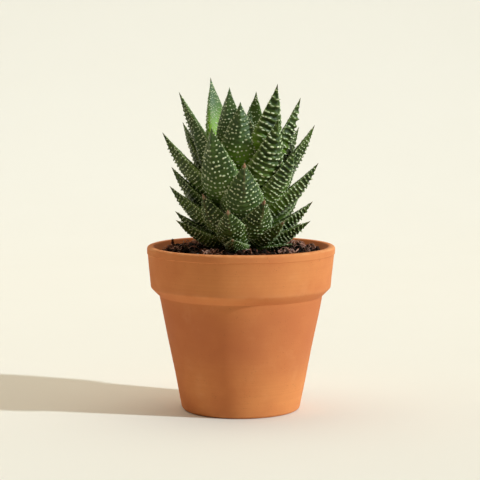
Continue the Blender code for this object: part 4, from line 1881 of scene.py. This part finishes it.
    def add_skin(self, piece: Piece, leaf: Leaf) -> None:
        """Adds a leaf's skin on a grid of rings along and columns round, and says how it is coloured.

        Its colours follow the rows as a cosine of the row number, the inner face, the margins, the keel
        and the distance from the tip.

        Args:
            piece: The leaf's piece.
            leaf: The leaf.
        """
        share = np.linspace(0.0, 1.0, self.rings + 2)[1:-1]
        share = 0.7 * share + 0.3 * (0.5 - 0.5 * np.cos(math.pi * share))
        turns = math.tau * (np.arange(self.columns) + 0.5) / self.columns
        along, around = np.meshgrid(share, turns, indexing="ij")
        skin = self.surface(leaf, along, around)
        ends = self.surface(leaf, np.array([0.0, 1.0]), np.array([1.5 * math.pi, 0.0]))
        points = np.concatenate([skin.reshape(-1, 3), ends])
        _, _, _, length = self.spine(leaf, np.array([0.5]))
        along = np.concatenate([along.ravel(), [0.0, 1.0]])
        around = np.concatenate([around.ravel(), [1.5 * math.pi, 1.5 * math.pi]])
        inner = smooth_step(0.05, 0.3, np.sin(around))
        rows = self.row_phase(leaf, along, np.cos(around), length)
        # rib is 1 on a row's line and 0 between rows; the skin's finish paints shade where it is low.
        on_row = (0.5 + 0.5 * np.cos(math.tau * rows)) * smooth_step(0.08, 0.3, along)
        plain = 0.58
        rib = np.where(inner > 0.5, plain, plain + leaf.bumps.banding * (on_row - plain))
        margin = smooth_step(0.935, 0.995, np.abs(np.cos(around)))
        glow_top = 0.66 + 0.16 * leaf.wax
        glow = leaf.glow * smooth_step(glow_top, glow_top - 0.35, along)
        from_tip = (1.0 - along) * length
        keel = 0.35 * np.exp(-((np.cos(around) / 0.09) ** 2)) * (1.0 - inner) * smooth_step(0.45, 0.95, along)
        piece.add(
            points,
            capped_faces(self.rings, self.columns),
            SKIN,
            rib=rib,
            inner=inner,
            margin=0.85 * margin * smooth_step(0.1, 0.4, along),
            wax=leaf.wax * inner + leaf.bloom * (1.0 - inner),
            pale=np.clip(glow + 0.35 * smooth_step(0.2, 0.0, along), 0.0, 1.0),
            brown=leaf.tip.brown * smooth_step(2.8 * MM, 0.9 * MM, from_tip),
            red=leaf.tip.red * np.maximum(smooth_step(3.8 * MM, 1.7 * MM, from_tip), keel),
        )

    def leaf(self, number: int, leaf: Leaf) -> bpy.types.Object:
        """One leaf: its skin, its bumps and its teeth.

        Args:
            number: The leaf's number in the CAD model.
            leaf: The leaf.

        Returns:
            The leaf's object, which stands for the CAD leaf.
        """
        piece = Piece(f"haworthia_leaf_{number:02d}")
        rng = np.random.default_rng(Seed.FIRST_LEAF + number)
        self.add_skin(piece, leaf)
        self.add_bumps(piece, leaf, rng)
        self.add_teeth(piece, leaf, rng)
        return piece.make([self.skin, self.pearls], "leaf", f"leaf_{number:02d}")

    def stem(self) -> bpy.types.Object:
        """The stem, a closed turned shape with the rings that old leaves left.

        Rings run from its blunt foot in the soil to the growing point at its top. Above the soil the
        radius has a low cosine ripple, one turn for each ring.

        Returns:
            The stem's object, which stands for the CAD stem.
        """
        low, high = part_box("stem")
        height = np.linspace(low.z, high.z, self.stem_rings)[1:-1]
        plain = np.interp(
            height,
            [low.z, self.soil_top - 7.2 * MM, self.soil_top, high.z - 7.0 * MM, high.z - 3.0 * MM, high.z],
            [1.9 * MM, 4.7 * MM, self.stem_radius, self.stem_top_radius, 2.4 * MM, 0.4 * MM],
        )
        on_stem = (height > self.soil_top) & (height < high.z - 8.0 * MM)
        scars = 0.12 * MM * np.cos(math.tau * height / (2.6 * MM)) * on_stem
        angle = math.tau * np.arange(self.stem_columns) / self.stem_columns
        radius = (plain + scars)[:, None] * (1.0 + 0.03 * np.cos(3.0 * angle))
        level = height[:, None] * np.ones(self.stem_columns)
        rings = np.stack([radius * np.sin(angle), -radius * np.cos(angle), level], axis=-1)
        points = np.concatenate([rings.reshape(-1, 3), [[0.0, 0.0, low.z], [0.0, 0.0, high.z]]])
        cork = 1.0 - smooth_step(self.soil_top, self.soil_top + 14.0 * MM, points[:, 2])
        piece = Piece("rootstock")
        piece.add(points, capped_faces(len(height), self.stem_columns), cork=cork)
        return piece.make([self.rootstock], "stem", "stem")

    def make(self) -> None:
        """Makes the stem and every leaf."""
        self.stem()
        for number, leaf in enumerate(LEAVES, start=1):
            self.leaf(number, leaf)


# ---------------------------------------------------------------------------------------------------
# Studio


@dataclass
class Studio:
    """A sweep of pale paper, a low key light from the right, a wide soft box overhead and a warm fill.

    Attributes:
        eye: Place of the camera.
        tilt_down: Its tilt in degrees.
        focal_length: Its lens in millimetres.
        sensor: Width of its sensor in millimetres.
        side_shift: Its shift, as a share of the frame's width.
        key_azimuth: The way that the key light comes from, in degrees.
        key_elevation: Its height in degrees.
        key_spread: Its apparent width in degrees.
        key_strength: Its strength in watts to the square metre.
        key_colour: Its colour.
        box_centre: Middle of the soft box.
        box_size: Its width and depth.
        box_power: Its power in watts.
        box_colour: Colour of the soft box and the fill.
        fill_centre: Middle of the fill.
        fill_size: Its width.
        fill_power: Its power in watts.
        sky: Colour of the light from all round.
        sky_strength: Its strength.
        paper_reach: How far the paper runs to the front and to both sides.
        paper_back: How far behind the pot it starts to rise.
        paper_top: Its height.
        sweep_radius: Radius of its rise.
        sweep_steps: Points on the rise.
        paper: Its finish.
    """

    eye: Point = (0.0, -1.0, 0.2023)
    tilt_down: float = 5.969
    focal_length: float = 131.1
    sensor: float = 36.0
    side_shift: float = -1.0 / 480.0
    key_azimuth: float = 71.5
    key_elevation: float = 29.0
    key_spread: float = 2.4
    key_strength: float = 3.1
    key_colour: Colour = (0.82, 0.95, 1.0)
    box_centre: Point = (0.0, 0.3, 1.7)
    box_size: tuple[float, float] = (3.4, 1.8)
    box_power: float = 25.5
    box_colour: Colour = (1.0, 0.885, 0.67)
    fill_centre: Point = (-1.5, 0.1, 0.6)
    fill_size: float = 1.2
    fill_power: float = 0.9
    sky: Colour = (1.0, 0.90, 0.72)
    sky_strength: float = 0.10
    paper_reach: float = 12.0
    paper_back: float = 0.9
    paper_top: float = 3.0
    sweep_radius: float = 0.9
    sweep_steps: int = 24
    paper: Finish = PaperFinish()

    def backdrop(self) -> bpy.types.Object:
        """The paper: a flat run under the pot that sweeps up behind it along a quarter circle.

        Returns:
            The backdrop's object.
        """
        radius, back = self.sweep_radius, self.paper_back
        turn = np.linspace(0.0, 0.5 * math.pi, self.sweep_steps)[1:]
        flat = [-self.paper_reach, -1.0, 0.0, back]
        y = np.concatenate([flat, back + radius * np.sin(turn), [back + radius]])
        z = np.concatenate([np.zeros(len(flat)), radius - radius * np.cos(turn), [self.paper_top]])
        x = np.array([-self.paper_reach, self.paper_reach])
        points = np.stack([np.tile(x, len(y)), np.repeat(y, 2), np.repeat(z, 2)], axis=-1)
        start = 2 * np.arange(len(y) - 1)[:, None]
        faces = start + np.array([0, 1, 3, 2])
        mesh = bpy.data.meshes.new("paper_sweep")
        mesh.from_pydata(points.tolist(), [], faces.tolist())
        mesh.polygons.foreach_set("use_smooth", np.ones(len(faces), bool))
        mesh.materials.append(self.paper.material())
        sweep = bpy.data.objects.new("paper_sweep", mesh)
        bpy.context.scene.collection.objects.link(sweep)
        return sweep

    def light(self) -> None:
        """A key light far off, a soft box overhead that faces down, and even light from all round."""
        lamp = bpy.data.lights.new("key", "SUN")
        lamp.energy = self.key_strength
        lamp.color = self.key_colour
        lamp.angle = math.radians(self.key_spread)
        key = bpy.data.objects.new("key", lamp)
        azimuth, elevation = math.radians(self.key_azimuth), math.radians(self.key_elevation)
        towards = Vector(
            (
                math.sin(azimuth) * math.cos(elevation),
                -math.cos(azimuth) * math.cos(elevation),
                math.sin(elevation),
            )
        )
        key.location = towards * 2.0
        key.rotation_euler = towards.to_track_quat("Z", "Y").to_euler()
        bpy.context.scene.collection.objects.link(key)
        self.panel("soft_box", self.box_centre, self.box_size, self.box_power, Vector((0.0, 0.0, -1.0)))
        square = (self.fill_size, self.fill_size)
        self.panel("side_fill", self.fill_centre, square, self.fill_power, -Vector(self.fill_centre))
        world = bpy.data.worlds.new("studio")
        world.use_nodes = True
        backing = world.node_tree.nodes["Background"]
        backing.inputs["Color"].default_value = (*self.sky, 1.0)
        backing.inputs["Strength"].default_value = self.sky_strength
        bpy.context.scene.world = world

    def panel(
        self, name: str, centre: Point, size: tuple[float, float], power: float, towards: Vector
    ) -> None:
        """A rectangular light.

        Args:
            name: Its name.
            centre: Its middle.
            size: Its width and depth.
            power: Its power in watts.
            towards: The way that it faces.
        """
        lamp = bpy.data.lights.new(name, "AREA")
        lamp.shape = "RECTANGLE"
        lamp.size, lamp.size_y = size
        lamp.energy = power
        lamp.color = self.box_colour
        made = bpy.data.objects.new(name, lamp)
        made.location = centre
        made.rotation_euler = towards.to_track_quat("-Z", "Y").to_euler()
        bpy.context.scene.collection.objects.link(made)

    def camera(self) -> None:
        """A long lens, a little above the rim and tilted down."""
        lens = bpy.data.cameras.new("camera")
        lens.lens = self.focal_length
        lens.sensor_width = self.sensor
        lens.shift_x = self.side_shift
        made = bpy.data.objects.new("camera", lens)
        made.location = self.eye
        made.rotation_euler = (math.radians(90.0 - self.tilt_down), 0.0, 0.0)
        bpy.context.scene.collection.objects.link(made)
        bpy.context.scene.camera = made

    def make(self) -> None:
        """Sets up the backdrop, the lights and the camera."""
        self.backdrop()
        self.light()
        self.camera()
        bpy.context.scene.view_settings.view_transform = "Standard"


def main() -> None:
    """Builds the pot, the soil, the plant and the studio."""
    logging.basicConfig(level=logging.INFO, format="%(name)s %(message)s")
    _, pot_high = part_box("pot")
    soil_low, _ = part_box("soil")
    pot = ClayPot(height=pot_high.z, rim_radius=pot_high.x)
    pot.make()
    edge_height = pot_high.z - SOIL_BELOW_LIP
    soil = SoilBed(
        edge_radius=float(pot.inner_radius(edge_height)) - SOIL_CLEARANCE,
        edge_height=edge_height,
        bottom_height=soil_low.z,
        bottom_radius=float(pot.inner_radius(soil_low.z)) - SOIL_CLEARANCE,
    )
    soil.make()
    Rosette(soil=soil, lip_height=pot_high.z).make()
    Studio().make()


if __name__ == "__main__":
    main()
